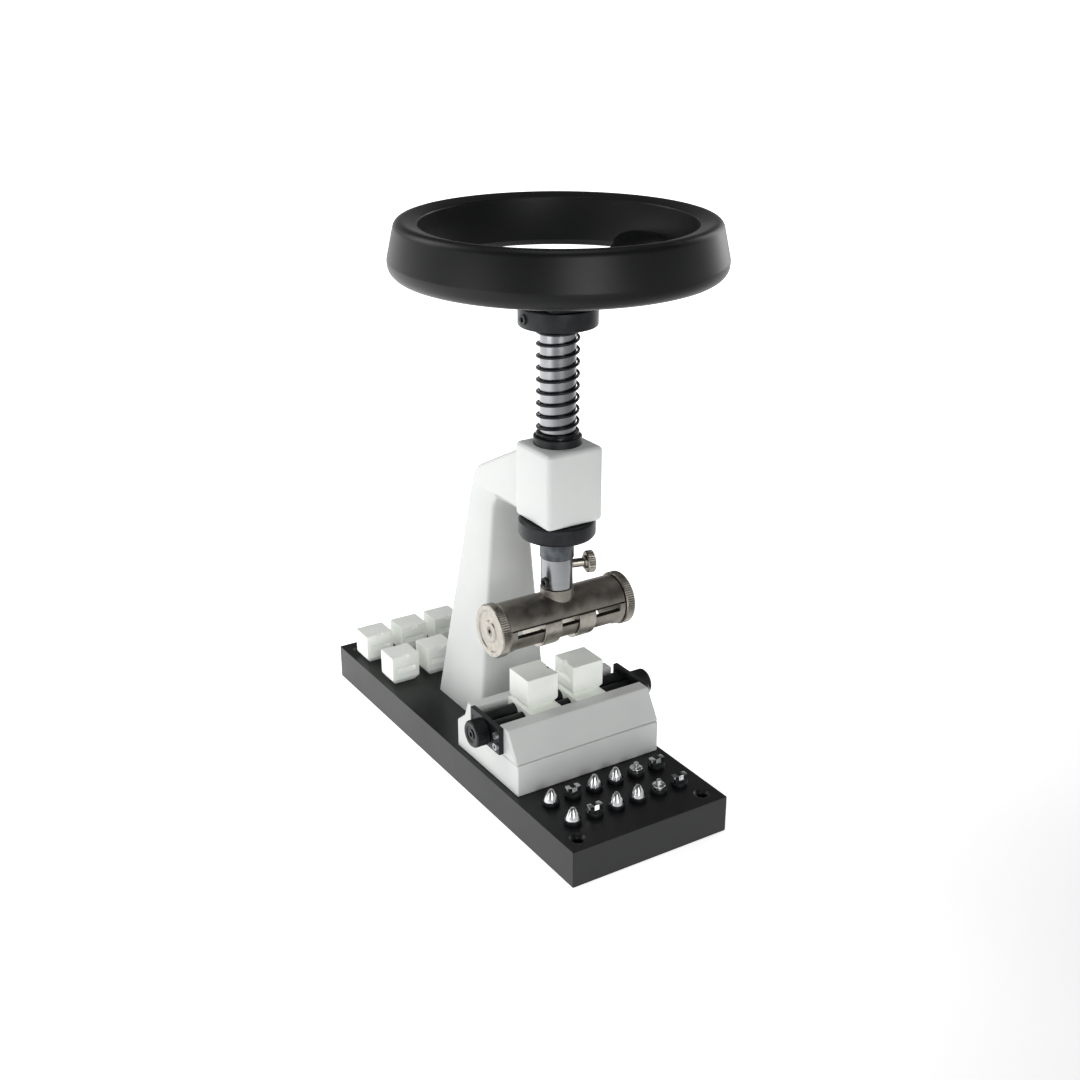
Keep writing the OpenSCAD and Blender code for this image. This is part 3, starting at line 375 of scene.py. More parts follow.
def broken_edges(piece, width, steps=3, sharper_than=30):
    """Breaks the sharp edges with a small radius and evens the shading of the flats."""
    hold(piece)
    step = piece.modifiers.new("edges", "BEVEL")
    step.width, step.segments, step.use_clamp_overlap = width * MM, steps, False
    step.limit_method, step.angle_limit = "ANGLE", math.radians(sharper_than)
    bpy.ops.object.modifier_apply(modifier=step.name)
    smooth(piece)
    step = piece.modifiers.new("shading", "WEIGHTED_NORMAL")
    step.keep_sharp = True
    bpy.ops.object.modifier_apply(modifier=step.name)
    return piece


def eased(name, node, width):
    """A copy of a CAD node, merged to clean faces, with its edges broken."""
    piece = bpy.data.objects.new(name, frame["nodes"][node].data.copy())
    bpy.context.scene.collection.objects.link(piece)
    piece.data.name = name
    hold(piece)
    bpy.ops.object.mode_set(mode="EDIT")
    bpy.ops.mesh.customdata_custom_splitnormals_clear()
    bpy.ops.mesh.select_all(action="SELECT")
    bpy.ops.mesh.remove_doubles(threshold=MERGE_GAP)
    bpy.ops.mesh.dissolve_limited(angle_limit=math.radians(0.5))
    bpy.ops.object.mode_set(mode="OBJECT")
    return broken_edges(piece, width)


def knurled(piece, depth, low, high, radius, columns):
    """Presses every other column of the rim in, on a piece turned about Z at the origin."""
    hold(piece)
    bpy.ops.object.mode_set(mode="EDIT")
    pick(piece, "VERT", lambda point: low * MM < point.co.z < high * MM
         and point.co.xy.length > (radius - 0.05) * MM
         and round(math.atan2(point.co.y, point.co.x) / math.tau * columns) % 2)
    share = 1 - depth / radius
    bpy.ops.transform.resize(value=(share, share, 1), center_override=(0, 0, 0))
    bpy.ops.object.mode_set(mode="OBJECT")
    return piece


def stand(piece, place, axis=Z, roll=0):
    """Moves a piece that was made upright at the origin to its place, turned to its axis."""
    piece.rotation_mode = "QUATERNION"
    piece.rotation_quaternion = Z.rotation_difference(axis)
    if roll:
        piece.rotation_mode = "XYZ"
        piece.rotation_euler = (0, 0, math.radians(roll))
    piece.location = place * MM
    return settle(piece)


def copied(piece, name):
    """A copy with its own mesh."""
    made = piece.copy()
    made.data = piece.data.copy()
    made.name = made.data.name = name
    bpy.context.scene.collection.objects.link(made)
    return made


def dressed(piece, slot, body, *nodes, finish=None):
    """Gives the piece its finish, the body it moves with and the CAD nodes it stands for."""
    if not piece.data.materials:
        piece.data.materials.append(FINISH[finish or slot])
    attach(piece, body)
    if nodes:
        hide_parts(*nodes)
    return piece


def span(node):
    """Lowest and highest corner of a CAD node in millimetres."""
    low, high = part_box(node)
    return low / MM, high / MM


# Places that the CAD gives

base_low, base_high = span("base_plate")
BENCH_TOP = base_high.z
shaft_low, shaft_high = span("spindle")
SHAFT = Vector((0, (shaft_low.y + shaft_high.y) / 2, 0))
SHAFT_R = (shaft_high.x - shaft_low.x) / 2


# Every CAD node gets the finish of its slot; the pieces made below stand for most of them

for part in frame["record"]["subparts"]:
    for holder in frame["nodes"][part["node"]].material_slots:
        holder.material = FINISH[part["material_slot"]]


# Base plate: sawn block, milled flat, with four countersunk holes and the bolts' counterbores

BENCH_HOLE_X, BENCH_HOLE_Y = 36.5, 116
BENCH_HOLE_CUT = [(0, -1), (2.25, -1), (2.25, 17.75), (4, 19.5), (4, 21), (0, 21)]
# Radius of each bolt's head, and radius and depth of the counterbore for it
FRAME_BOLT_HEAD, FRAME_COUNTERBORE = 6.5, (6.8, 8.5)
VICE_BOLT_HEAD, VICE_COUNTERBORE = 4.25, (4.55, 5.5)

base = block("base_plate_milled", base_low, base_high)
for side in (-1, 1):
    for end in (-1, 1):
        hole = Vector((side * BENCH_HOLE_X, end * BENCH_HOLE_Y, 0))
        combine(base, turned("hole", BENCH_HOLE_CUT, hole, ring=False, steps=HOLE_STEPS))
low, high = span("frame_bolts")
counterbores = [(0, y, *FRAME_COUNTERBORE)
                for y in (low.y + FRAME_BOLT_HEAD, high.y - FRAME_BOLT_HEAD)]
low, high = span("vice_bolts")
counterbores += [(side * (high.x - VICE_BOLT_HEAD), y, *VICE_COUNTERBORE) for side in (-1, 1)
                 for y in (low.y + VICE_BOLT_HEAD, high.y - VICE_BOLT_HEAD)]
for x, y, wide, deep in counterbores:
    combine(base, rod("counterbore", wide, -1, deep, Vector((x, y, 0)), steps=HOLE_STEPS))
broken_edges(base, 0.5, steps=2)
dressed(base, "base_black", "root", "base_plate")


# Frame casting: column and arm crossed from two views, joined to the head block and bored

HEAD_HALF, HEAD_FRONT, HEAD_BACK = 15.7, -57, -26.9
HEAD_LOW, HEAD_HIGH = 147.8, 185.6
HEAD_BORE = 11.02
COLUMN_FRONT_FOOT, COLUMN_FRONT_TOP, COLUMN_BACK = 1.2, 3.6, span("c_frame")[1].y
COLUMN_HALF, ARM_HALF = 21.3, 10
SHOULDER_Y, SHOULDER_Z = COLUMN_BACK - 24, 155.5
ARM_END, ARM_SLOPE = -31, 0.51
# The casting is made longer below, rounded, and then cut off level with the base
LONG_FOOT = BENCH_TOP - 6
# Cutters reach this far past the casting, to the sides and upwards
OUTSIDE, ABOVE = 60, 200

casting = across_bar("frame_casting", arc_corners([
    (COLUMN_FRONT_FOOT, LONG_FOOT, 0), (COLUMN_FRONT_TOP, HEAD_LOW, 9), (ARM_END, HEAD_LOW, 0),
    (ARM_END, SHOULDER_Z + (SHOULDER_Y - ARM_END) * ARM_SLOPE, 0), (SHOULDER_Y, SHOULDER_Z, 18),
    (COLUMN_BACK, LONG_FOOT, 0)], steps=8), COLUMN_HALF + 0.7)
combine(casting, bar("front_view", [Vector((x, -OUTSIDE, z)) for x, z in [
    (-COLUMN_HALF, LONG_FOOT), (COLUMN_HALF, LONG_FOOT), (ARM_HALF, HEAD_LOW), (ARM_HALF, ABOVE),
    (-ARM_HALF, ABOVE), (-ARM_HALF, HEAD_LOW)]], Y * 2 * OUTSIDE), "INTERSECT")
broken_edges(casting, 2, steps=4, sharper_than=40)
head = block("head_block", Vector((-HEAD_HALF, HEAD_FRONT, HEAD_LOW)),
             Vector((HEAD_HALF, HEAD_BACK, HEAD_HIGH)))
broken_edges(head, 2.4, steps=4)
combine(casting, head, "UNION")
combine(casting, block("under", Vector((-OUTSIDE, -OUTSIDE, 0)),
                       Vector((OUTSIDE, OUTSIDE, BENCH_TOP))))
combine(casting, rod("bore", HEAD_BORE, 140, 190, SHAFT))
smooth(casting)
dressed(casting, "casting_grey", "root", "c_frame")


# Vice: slab with its back wall, and the sloping front rail with the groove under it

VICE_HALF, SLAB_TOP, WALL_TOP = 42, 36.5, 49.5
RAIL_FOOT, RAIL_TOP = SLAB_TOP + 0.02, 52

vice = across_bar("vice_casting", arc_corners([
    (-71.5, BENCH_TOP, 0), (-12, BENCH_TOP, 0), (-12, 35, 2), (-19.5, 41, 3), (-23, WALL_TOP, 1),
    (-29.5, WALL_TOP, 0.6), (-29.5, SLAB_TOP, 1), (-71.5, SLAB_TOP, 0)]), VICE_HALF)
broken_edges(vice, 0.7, sharper_than=40)
dressed(vice, "casting_grey", "root", "vice_body")
rail = across_bar("vice_rail_milled", arc_corners([
    (-70.6, RAIL_FOOT, 0), (-54.5, RAIL_FOOT, 0), (-54.5, RAIL_TOP, 0.6),
    (-62, RAIL_TOP, 1.2), (-71.2, 37.4, 0.3)]), VICE_HALF)
broken_edges(rail, 0.6, sharper_than=40)
dressed(rail, "casting_grey", "root", "vice_front_rail")
for side in ("left", "right"):
    dressed(eased(f"vice_plate_{side}_eased", f"vice_plate_{side}", 0.35), "black_oxide", "root",
            f"vice_plate_{side}")


# Nylon jaws: a block with a bevelled foot, a V groove in the gripping face and a notch over it

JAW_HEIGHT, JAW_FOOT, JAW_FOOT_TALL = 17, 2.2, 2.2 * 1.4
# The groove's depth, half its height, its middle's height and how far it stops short of the sides
GROOVE_DEEP, GROOVE_HALF, GROOVE_Z, GROOVE_SIDE = 2, 2.4, 8.84, 2.6
NOTCH_HALF = Vector((1.8, 1.26, 1.26))
PEG_BORE, PEG_DEEP = 2.52, 9


def nylon_jaw(name, width, depth):
    """A jaw that stands upright at the origin with its gripping face towards -Y."""
    piece = block(name, Vector((-width / 2, -depth / 2, 0)),
                  Vector((width / 2, depth / 2, JAW_HEIGHT)))
    hold(piece)
    bpy.ops.object.mode_set(mode="EDIT")
    bpy.ops.mesh.select_all(action="SELECT")
    bpy.ops.mesh.bisect(plane_co=(0, 0, JAW_FOOT_TALL * MM), plane_no=Z)
    pick(piece, "FACE", lambda face: face.normal.z < -0.9)
    bpy.ops.transform.resize(value=(1 - 2 * JAW_FOOT / width, 1 - 2 * JAW_FOOT / depth, 1),
                             center_override=(0, 0, 0))
    bpy.ops.object.mode_set(mode="OBJECT")
    half = width / 2 - GROOVE_SIDE
    combine(piece, bar("groove", [Vector((-half, -depth / 2 + y, GROOVE_Z + z)) for y, z in
                                  ((-1, GROOVE_HALF), (GROOVE_DEEP, 0), (-1, -GROOVE_HALF))],
                       X * 2 * half))
    notch = block("notch", -NOTCH_HALF, NOTCH_HALF)
    notch.rotation_euler = (math.radians(45), 0, 0)
    notch.location = Vector((0, -depth / 2, JAW_HEIGHT)) * MM
    combine(piece, settle(notch))
    combine(piece, rod("peg_hole", PEG_BORE, -1, PEG_DEEP, steps=HOLE_STEPS))
    return broken_edges(piece, 0.45)


jaw = nylon_jaw("jaw_pattern", width=17.5, depth=18)
for side, name in ((-1, "left"), (1, "right")):
    low, high = span(f"jaw_{name}")
    made = stand(copied(jaw, f"jaw_{name}_shaped"), Vector(((low.x + high.x) / 2, SHAFT.y, low.z)),
                 roll=-90 * side)
    dressed(made, "jaw_nylon", f"jaw_{name}", f"jaw_{name}")
    dressed(eased(f"jaw_carrier_{name}_eased", f"jaw_carrier_{name}", 0.35), "jaw_nylon",
            f"jaw_{name}", f"jaw_carrier_{name}")
bpy.data.objects.remove(jaw)
jaw = nylon_jaw("spare_jaw_pattern", width=16.6, depth=14.4)
for number in range(1, 9):
    low, high = span(f"spare_jaw_{number}")
    made = stand(copied(jaw, f"spare_jaw_{number}_shaped"),
                 Vector(((low.x + high.x) / 2, (low.y + high.y) / 2, low.z)))
    dressed(made, "jaw_nylon", "root", f"spare_jaw_{number}")
bpy.data.objects.remove(jaw)


# Handwheel: a spun rim, a turned hub and three dished spokes

HUB_FOOT, HUB_TALL, HUB_R, HUB_BORE = 251.9, 5.6, 16, 6.1
RIM_INNER, RIM_OUTER, RIM_FOOT, RIM_TOP = 63.3, 77.5, 266.5, 292.7
# The rim's underside rises inwards, its top falls inwards and its wall leans inwards
UNDER_RISE, TOP_FALL, WALL_LEAN, WALL_FOOT = 2.8, 2.8, 4, 8

wheel = turned("handwheel_cast", arc_corners([
    (RIM_INNER, RIM_FOOT + UNDER_RISE, 2), (RIM_INNER, RIM_TOP - TOP_FALL, 1),
    (RIM_OUTER - WALL_LEAN, RIM_TOP, 4), (RIM_OUTER, RIM_FOOT + WALL_FOOT, 3),
    (RIM_OUTER, RIM_FOOT, 6.5), (RIM_INNER + 1.5, RIM_FOOT, 1.5)], steps=7), SHAFT, steps=192)
hub = turned("hub", arc_corners([
    (HUB_BORE, HUB_FOOT, 0), (HUB_R - 0.2, HUB_FOOT, 0.4), (HUB_R, HUB_FOOT + HUB_TALL, 1.2),
    (HUB_BORE, HUB_FOOT + HUB_TALL, 0)]), SHAFT)


def spoke_cut(radius, half, foot, crown):
    """Outline of a spoke's cut at a radius: a flat, narrower foot and a crowned top."""
    steps, flank, foot_share = 10, 0.12, 0.8
    turns = [math.pi * k / steps for k in range(steps + 1)]
    top = [Vector((radius, half * math.cos(turn),
                   foot + (crown - foot) * (flank + (1 - flank) * math.sin(turn))))
           for turn in turns]
    edge = half * foot_share
    return [Vector((radius, edge, foot))] + top + [Vector((radius, -edge, foot))]


def bridged(name, cuts):
    """A solid through a row of cuts that have the same number of points."""
    piece = drawn(name, cuts[0])
    join_ends(piece)
    for cut in cuts[1:]:
        bpy.ops.object.mode_set(mode="OBJECT")
        ring = drawn(name + "_cut", cut)
        join_ends(ring)
        bpy.ops.object.mode_set(mode="OBJECT")
        hold(piece)
        ring.select_set(True)
        bpy.ops.object.join()
        bpy.ops.object.mode_set(mode="EDIT")
    bpy.ops.mesh.select_mode(type="EDGE")
    bpy.ops.mesh.select_all(action="SELECT")
    bpy.ops.mesh.bridge_edge_loops()
    for end in (cuts[0][0].x, cuts[-1][0].x):
        pick(piece, "VERT", lambda point: abs(point.co.x - end * MM) < MERGE_GAP)
        bpy.ops.mesh.edge_face_add()
    return close_up(piece)


SPOKE_START, SPOKE_END, SPOKE_CUTS, FIRST_SPOKE = 12.0, 64.6, 18, 16
# Where the spoke starts to rise, where its top lifts most and how gently, and where it flares
RISE_START, LIFT_MIDDLE, LIFT_LENGTH, FLARE_START = 18.5, 24, 3.2, 40
SPOKE_HALF, SPOKE_WIDENING, RIM_WIDENING = 10.4, 0.8, 9.4
SPOKE_FOOT_LOW, SPOKE_FOOT_HIGH = HUB_FOOT + 0.4, RIM_FOOT + 3
CROWN_LOW, CROWN_HIGH, RIM_CROWN = HUB_FOOT + 5.4, RIM_FOOT + 5, 5.2

stations = []
for k in range(SPOKE_CUTS + 1):
    share = k / SPOKE_CUTS
    radius = SPOKE_START + (SPOKE_END - SPOKE_START) * share
    flare = max(0.0, (radius - FLARE_START) / (SPOKE_END - FLARE_START))
    half = SPOKE_HALF + SPOKE_WIDENING * share + RIM_WIDENING * flare ** 2.2
    rise = max(0.0, (radius - RISE_START) / (SPOKE_END - RISE_START))
    foot = SPOKE_FOOT_LOW + (SPOKE_FOOT_HIGH - SPOKE_FOOT_LOW) * rise
    lift = 1 / (1 + math.exp((LIFT_MIDDLE - radius) / LIFT_LENGTH))
    crown = CROWN_LOW + (CROWN_HIGH - CROWN_LOW) * lift + RIM_CROWN * flare
    stations.append(spoke_cut(radius, half, foot, crown))
spoke = smooth(bridged("spoke", stations), 50)
for number in range(3):
    arm = copied(spoke, "arm")
    stand(arm, SHAFT, roll=FIRST_SPOKE + 120 * number)
    combine(hub, arm, "UNION")
bpy.data.objects.remove(spoke)
combine(wheel, hub, "UNION")
smooth(wheel, 40)
dressed(wheel, "wheel_black", "spindle", "handwheel")


# Turned pieces on the spindle axis

def on_shaft(name, slot, body, node, corners, ring=True):
    """A piece turned about the spindle axis from rounded corners of radius and height."""
    piece = smooth(turned(name, arc_corners(corners, 3), SHAFT, ring=ring), 40)
    return dressed(piece, slot, body, node)


def shaft_ring(name, slot, body, node, bore, edge):
    """A plain ring on the spindle axis as large as its CAD node, with broken edges."""
    low, high = span(node)
    outer = (high.y - low.y) / 2
    return on_shaft(name, slot, body, node, [
        (bore, low.z, 0), (outer, low.z, edge), (outer, high.z, edge), (bore, high.z, 0)])


# Heights and radii of the turned pieces, from the chuck up
CHUCK_LOW, CHUCK_HIGH = 111.2, 127
STOP_LOW, STOP_HIGH = 138.8, 147.5
COLLAR_LOW, COLLAR_HIGH = 242.9, 251.88
NOSE_R, NOSE_HIGH = 6, 257.2
STOP_R, CHUCK_R, SHANK_R = 18.9, 7.85, 5
TIGHT_BORE, FREE_BORE, SLEEVE_BORE = SHAFT_R + 0.02, SHAFT_R + 0.05, 6.6
COLLAR_R = span("hub_collar")[1].x

on_shaft("spindle_ground", "spindle_steel", "spindle", "spindle", [
    (0, STOP_LOW + 0.05, 0), (SHAFT_R, STOP_LOW + 0.05, 0.3), (SHAFT_R, HUB_FOOT, 0.3),
    (NOSE_R, HUB_FOOT, 0), (NOSE_R, NOSE_HIGH, 0.4), (0, NOSE_HIGH, 0)], ring=False)
shaft_ring("upper_bush_turned", "black_oxide", "root", "upper_bush", FREE_BORE, 0.5)
shaft_ring("spring_washer_turned", "black_oxide", "slider", "spring_washer", FREE_BORE, 0.25)
on_shaft("hub_collar_turned", "black_oxide", "spindle", "hub_collar", [
    (TIGHT_BORE, COLLAR_LOW, 0), (COLLAR_R, COLLAR_LOW, 0.7), (COLLAR_R, COLLAR_HIGH, 0.5),
    (TIGHT_BORE, COLLAR_HIGH, 0)])
on_shaft("stop_ring_turned", "black_oxide", "spindle", "stop_ring", [
    (TIGHT_BORE, STOP_LOW, 0), (STOP_R - 0.9, STOP_LOW, 1), (STOP_R, STOP_LOW + 1.4, 0.6),
    (STOP_R, STOP_HIGH - 0.6, 0.5), (STOP_R - 0.7, STOP_HIGH, 0.3), (TIGHT_BORE, STOP_HIGH, 0)])
shaft_ring("chuck_sleeve_turned", "sleeve_steel", "spindle", "chuck_sleeve", SLEEVE_BORE, 0.35)
on_shaft("chuck_turned", "spindle_steel", "spindle", "chuck", [
    (SHANK_R, CHUCK_LOW, 0), (CHUCK_R, CHUCK_LOW, 0.5), (CHUCK_R, CHUCK_HIGH, 0),
    (SHANK_R, CHUCK_HIGH, 0)])


# Return spring: one wire, closed at both ends on its seats

SPRING_FOOT, SPRING_TOP, SPRING_TRAVEL, SPRING_START = 189.6, 241.9, 13.5, math.radians(60)
SPRING_R, SPRING_WIRE, SPRING_CURLS, CLOSED_CURLS = 9.75, 1.5, 8.4, 0.9


def spring_line():
    """Points of the wire's middle: closed turns on the seats, even curls between."""
    per_curl = 28
    total = SPRING_CURLS + 2 * CLOSED_CURLS
    rise = SPRING_TOP - SPRING_FOOT - SPRING_WIRE
    seat = CLOSED_CURLS * SPRING_WIRE * 0.98
    points = []
    for k in range(int(total * per_curl) + 1):
        turn = k / per_curl
        if turn < CLOSED_CURLS:
            height = turn / CLOSED_CURLS * seat
        elif turn > total - CLOSED_CURLS:
            height = rise - (total - turn) / CLOSED_CURLS * seat
        else:
            height = seat + (turn - CLOSED_CURLS) / SPRING_CURLS * (rise - 2 * seat)
        angle = math.tau * turn + SPRING_START
        points.append(SHAFT + Vector((SPRING_R * math.cos(angle), SPRING_R * math.sin(angle),
                                      SPRING_FOOT + SPRING_WIRE / 2 + height)))
    return points


spring = drawn("return_spring_wound", spring_line())
bpy.ops.object.mode_set(mode="OBJECT")
bpy.ops.object.convert(target="CURVE")
spring.data.bevel_depth, spring.data.bevel_resolution = SPRING_WIRE / 2 * MM, 4
spring.data.use_fill_caps = True
bpy.ops.object.convert(target="MESH")
smooth(spring, 50)
dressed(spring, "spring_steel", "root", "return_spring")
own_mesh(spring)


# Opener head: turned tube with a neck, a pocket underneath and a window in front

OPENER = Vector((0, SHAFT.y, 95.8))
TUBE_R, TUBE_HALF, NECK_R, NECK_HIGH, SCREW_BORE = 12.5, 33.5, 8.3, 15.35, 2.6
POCKET_HALF, POCKET_WIDE_HALF, POCKET_HIGH = 30, 9, 5.5
WINDOW_LOW, WINDOW_HIGH = -1.3, 3.1
# How far the cutters reach out of the tube
BEYOND = 25

tube = turned("opener_tube_milled", arc_corners([
    (0, -TUBE_HALF, 0), (TUBE_R, -TUBE_HALF, 0.4), (TUBE_R, TUBE_HALF, 0.4), (0, TUBE_HALF, 0)],
    2), OPENER, X, ring=False)
combine(tube, rod("neck", NECK_R, 2, NECK_HIGH, OPENER), "UNION")
combine(tube, block("pocket", OPENER + Vector((-POCKET_HALF, -POCKET_WIDE_HALF, -BEYOND)),
                    OPENER + Vector((POCKET_HALF, POCKET_WIDE_HALF, POCKET_HIGH))))
combine(tube, block("window", OPENER + Vector((-POCKET_HALF, -BEYOND, WINDOW_LOW)),
                    OPENER + Vector((POCKET_HALF, 0, WINDOW_HIGH))))
combine(tube, rod("screw_bore", SCREW_BORE, -40, 40, OPENER, X, steps=48))
broken_edges(tube, 0.25, steps=2, sharper_than=32)
dressed(tube, "head_steel", "spindle", "opener_tube")
for side in ("left", "right"):
    dressed(eased(f"bit_carrier_{side}_eased", f"bit_carrier_{side}", 0.3), "knob_steel",
            f"bit_carrier_{side}", f"bit_carrier_{side}", finish="burnished_nickel")


# Knobs, turned upright at the origin, knurled and then set on their screws

def knob(name, outline, knurl, columns, depth):
    """A knurled knob. knurl gives the low and high end of the knurling and its radius."""
    piece = turned(name, outline, steps=columns)
    return smooth(knurled(piece, depth, *knurl, columns), 30)


KNOB_BORE, OPENER_KNOB_X, VICE_KNOB_X = 2.55, 33.8, 45.1
opener_knob = knob("opener_knob_pattern", arc_corners([
    (KNOB_BORE, 0, 0), (12.9, 0, 0), (13.5, 0.6, 0), (13.5, 4.4, 0), (12.9, 5, 0), (10.6, 5, 0.3),
    (10.1, 4.4, 0.2), (5.6, 4.4, 0.2), (5.1, 5, 0.3), (KNOB_BORE, 5, 0)], 2),
    knurl=(0.5, 4.5, 13.5), columns=144, depth=0.35)
vice_knob = knob("vice_knob_pattern", arc_corners([
    (KNOB_BORE, 0, 0), (6.3, 0, 0), (7, 0.7, 0), (7, 6.8, 0), (6.3, 7.5, 0), (4.4, 7.5, 0.2),
    (4, 7, 0.2), (KNOB_BORE, 7, 0)], 2), knurl=(0.6, 6.9, 7), columns=84, depth=0.3)
for side, name in ((-1, "left"), (1, "right")):
    made = stand(copied(opener_knob, f"opener_knob_{name}_turned"),
                 OPENER + X * side * OPENER_KNOB_X, X * side)
    dressed(made, "knob_steel", "opener_screw", f"opener_knob_{name}")
    low, high = span(f"vice_knob_{name}")
    place = Vector((side * VICE_KNOB_X, (low.y + high.y) / 2, (low.z + high.z) / 2))
    made = stand(copied(vice_knob, f"vice_knob_{name}_turned"), place, X * side)
    dressed(made, "black_oxide", "vice_screw", f"vice_knob_{name}")
bpy.data.objects.remove(opener_knob)
bpy.data.objects.remove(vice_knob)

THUMB_R, THUMB_TURN, THUMB_COLUMNS = 5.5, math.radians(-15), 60
thumb = turned("thumb_screw_turned", arc_corners([
    (0, 5, 0), (2.25, 5, 0), (2.25, 13.4, 0.2), (3.3, 13.8, 0), (3.3, 14.85, 0), (5, 14.85, 0),
    (THUMB_R, 15.35, 0), (THUMB_R, 18.35, 0), (5, 18.85, 0), (2.6, 18.85, 0.2), (2.2, 18.5, 0.2),
    (0, 18.5, 0)], 2), steps=THUMB_COLUMNS, ring=False)
smooth(knurled(thumb, 0.3, 15.2, 18.5, THUMB_R, THUMB_COLUMNS), 30)
low, high = span("thumb_screw")
stand(thumb, SHAFT + Z * (low.z + high.z) / 2,
      Vector((math.cos(THUMB_TURN), math.sin(THUMB_TURN), 0)))
dressed(thumb, "knob_steel", "thumb_screw", "thumb_screw")


# Spare bits: a black collar with a polished tip, three kinds, two of each kind in a node

TIP_FOOT, TIP_R = 2.3, 3.95
BIT_COLLAR = [(0, -2, 0), (1.9, -2, 0), (1.9, 0, 0), (4.3, 0, 0.2), (4.3, 2.6, 0.4), (0, 2.6, 0)]
TIPS = {
    "cone": [(0, TIP_FOOT, 0), (TIP_R, TIP_FOOT, 0), (TIP_R, 2.9, 0), (1.05, 8.2, 0.25),
             (0, 8.2, 0)],
    "pin": [(0, TIP_FOOT, 0), (3.3, TIP_FOOT, 0), (3.3, 4.56, 0.4), (1.3, 4.56, 0.2),
            (1.3, 7.08, 0.3), (0, 7.08, 0)],
    "blade": [(0, TIP_FOOT, 0), (TIP_R, TIP_FOOT, 0), (TIP_R, 5.96, 0.3), (0, 5.96, 0)],
}
BLADE = Vector((-5, -1.72, 2)), Vector((5, 1.72, 7))
BLADE_GAP = Vector((-1.4, -3, 3.6)), Vector((1.4, 3, 7))


def spare_bit(kind):
    """One bit that stands at the origin. Its collar is black and its tip polished."""
    collar = turned("bit_collar", arc_corners(BIT_COLLAR, 2), ring=False, steps=HOLE_STEPS)
    collar.data.materials.append(FINISH["black_oxide"])
    tip = turned("tip", arc_corners(TIPS[kind], 2), ring=False, steps=HOLE_STEPS)
    if kind == "blade":
        combine(tip, block("blade", *BLADE), "INTERSECT")
        combine(tip, block("gap", *BLADE_GAP))
    tip.data.materials.append(FINISH["bit_steel"])
    for part in (collar, tip):
        smooth(part, 30)
    hold(tip)
    collar.select_set(True)
    bpy.ops.object.join()
    return tip


patterns = {kind: spare_bit(kind) for kind in TIPS}
BIT_PITCH, BIT_ROWS = 12.6, (-85, -104)
for number, kind in enumerate(("cone", "blade", "cone", "cone", "pin", "blade"), 1):
    pair = [stand(copied(patterns[kind], f"spare_bits_{number}_turned"),
                  Vector((BIT_PITCH * (number - 3.5), y, BENCH_TOP))) for y in BIT_ROWS]
    hold(pair[0])
    pair[1].select_set(True)
    bpy.ops.object.join()
    dressed(pair[0], "bit_steel", "root", f"spare_bits_{number}")
for pattern in patterns.values():
    bpy.data.objects.remove(pattern)


# Studio: pale floor, soft lights, and the camera where the photograph was taken

bpy.ops.object.select_all(action="DESELECT")
bpy.ops.mesh.primitive_circle_add(vertices=64, radius=30, fill_type="NGON",
                                  location=(0, 0, -0.2 * MM))
floor = bpy.context.object
floor.name = "floor"
settle(floor)
paper = bpy.data.materials.new("painted_glow_paper_sweep")
paper.use_nodes = True
sheet = paper.node_tree.nodes["Principled BSDF"]
sheet.inputs["Base Color"].default_value = linear("#F4F4F4")
sheet.inputs["Roughness"].default_value = 0.9
sheet.inputs["Specular IOR Level"].default_value = 0.0
sheet.inputs["Emission Color"].default_value = (1, 1, 1, 1)
# The paper's emission is painted light: it glows more towards the back, and all round far from the
# piece
paper_place = add_node(paper.node_tree, "ShaderNodeTexCoord", {}).outputs["Object"]
turned_place = add_node(paper.node_tree, "ShaderNodeVectorRotate", {
    "rotation_type": "Z_AXIS", "Angle": math.radians(-25)}, [("Vector", paper_place)])
across = add_node(paper.node_tree, "ShaderNodeSeparateXYZ", {}, [
    ("Vector", turned_place.outputs["Vector"])])
glow = add_node(paper.node_tree, "ShaderNodeMapRange", {
    "interpolation_type": "SMOOTHSTEP", "From Min": -0.75, "From Max": 0.55, "To Min": 0.0,
    "To Max": 1.5}, [("Value", across.outputs["Y"])])
away = add_node(paper.node_tree, "ShaderNodeVectorMath", {"operation": "LENGTH"}, [
    ("Vector", paper_place)])
far_glow = add_node(paper.node_tree, "ShaderNodeMapRange", {
    "interpolation_type": "SMOOTHSTEP", "From Min": 1.2, "From Max": 4, "To Min": 0.0,
    "To Max": 0.9}, [("Value", away.outputs["Value"])])
whole_glow = add_node(paper.node_tree, "ShaderNodeMath", {"operation": "MAXIMUM"}, [
    (0, glow.outputs["Result"]), (1, far_glow.outputs["Result"])])
paper.node_tree.links.new(whole_glow.outputs["Value"], sheet.inputs["Emission Strength"])
floor.data.materials.append(paper)
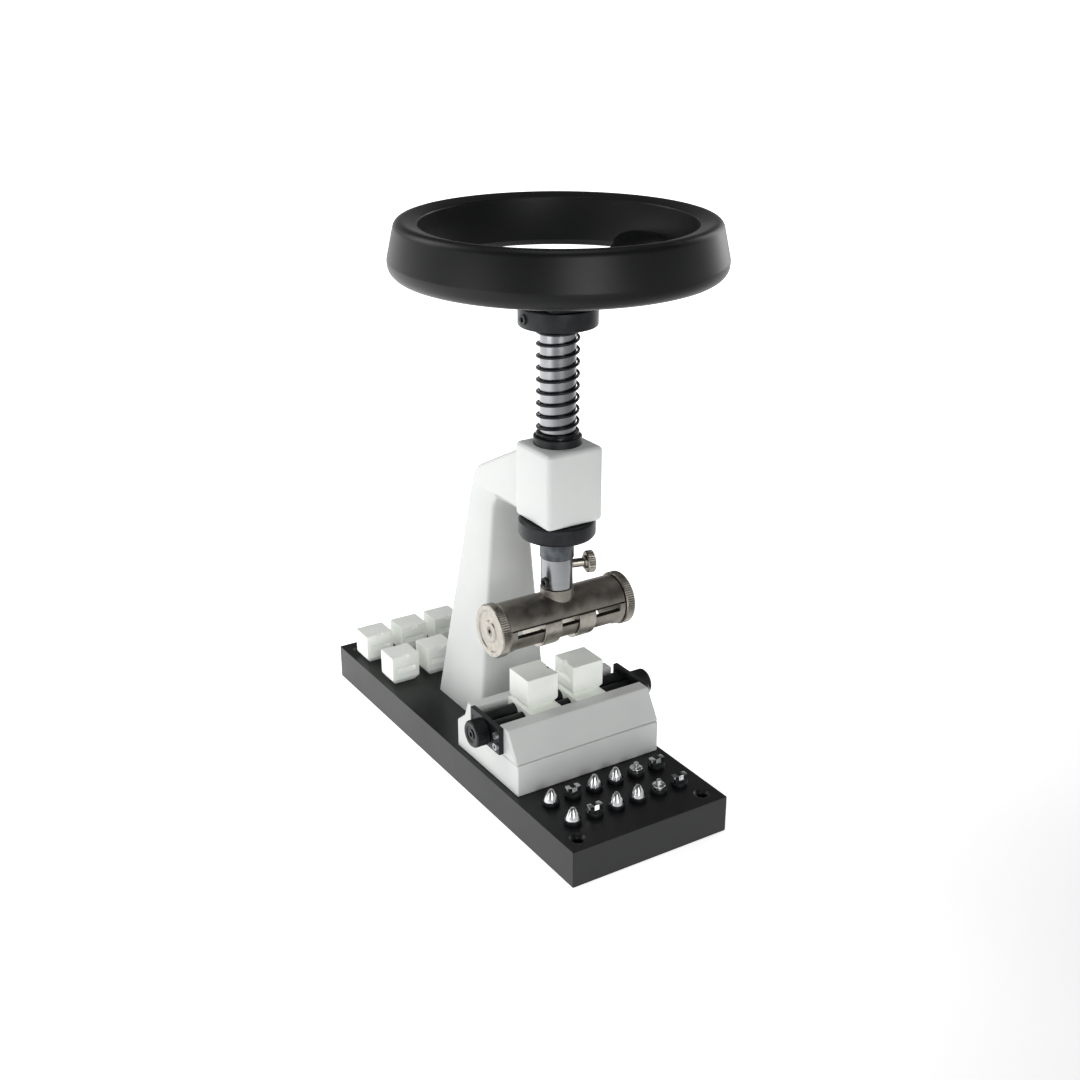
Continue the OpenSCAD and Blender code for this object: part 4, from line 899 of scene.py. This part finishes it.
floor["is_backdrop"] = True


def softbox(name, place, aim, wide, tall, watts):
    """A rectangular soft light at a place in metres, turned to what it lights."""
    data = bpy.data.lights.new(name, "AREA")
    data.shape, data.size, data.size_y, data.energy = "RECTANGLE", wide, tall, watts
    lamp = bpy.data.objects.new(name, data)
    lamp.location = place
    lamp.rotation_euler = (Vector(aim) - Vector(place)).to_track_quat("-Z", "Y").to_euler()
    bpy.context.scene.collection.objects.link(lamp)


MIDDLE = (0, -0.03, 0.14)
softbox("overhead", (0, -0.1, 1.7), MIDDLE, 0.9, 0.9, 4)
softbox("front_fill", (-0.35, -1.5, 0.6), MIDDLE, 0.7, 0.7, 7.5)
softbox("low_left", (-1.4, -0.1, 0.35), MIDDLE, 0.7, 0.5, 2)
softbox("back_left", (-0.7, 0.9, 1.0), MIDDLE, 0.7, 0.7, 6)
softbox("right_rim", (1.2, 0.3, 0.5), MIDDLE, 0.3, 0.9, 3.2)

# The room's own light: bright from the level of the floor, dim from above
world = bpy.data.worlds.new("studio_air")
bpy.context.scene.world = world
world.use_nodes = True
air = world.node_tree
heading = add_node(air, "ShaderNodeTexCoord", {}).outputs["Generated"]
split = add_node(air, "ShaderNodeSeparateXYZ", {}, [("Vector", heading)])
ramp = add_node(air, "ShaderNodeValToRGB", {}, [("Fac", split.outputs["Z"])])
for stop, at, grey in zip(ramp.color_ramp.elements, (0.12, 0.35), (0.72, 0.1)):
    stop.position, stop.color = at, (grey, grey, grey, 1)
air.links.new(ramp.outputs["Color"], air.nodes["Background"].inputs["Color"])

CAMERA_PLACE, CAMERA_DOWN, CAMERA_TURN = (-0.3630, -0.6012, 0.4122), 22.52, -32.21
lens = bpy.data.cameras.new("camera")
lens.lens, lens.sensor_width, lens.clip_start, lens.clip_end = 49.4, 36, 0.01, 100
camera = bpy.data.objects.new("camera", lens)
camera.location = CAMERA_PLACE
camera.rotation_euler = (math.radians(90 - CAMERA_DOWN), 0, math.radians(CAMERA_TURN))
bpy.context.scene.collection.objects.link(camera)
bpy.context.scene.camera = camera
bpy.context.scene.view_settings.view_transform = "Standard"

low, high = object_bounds()
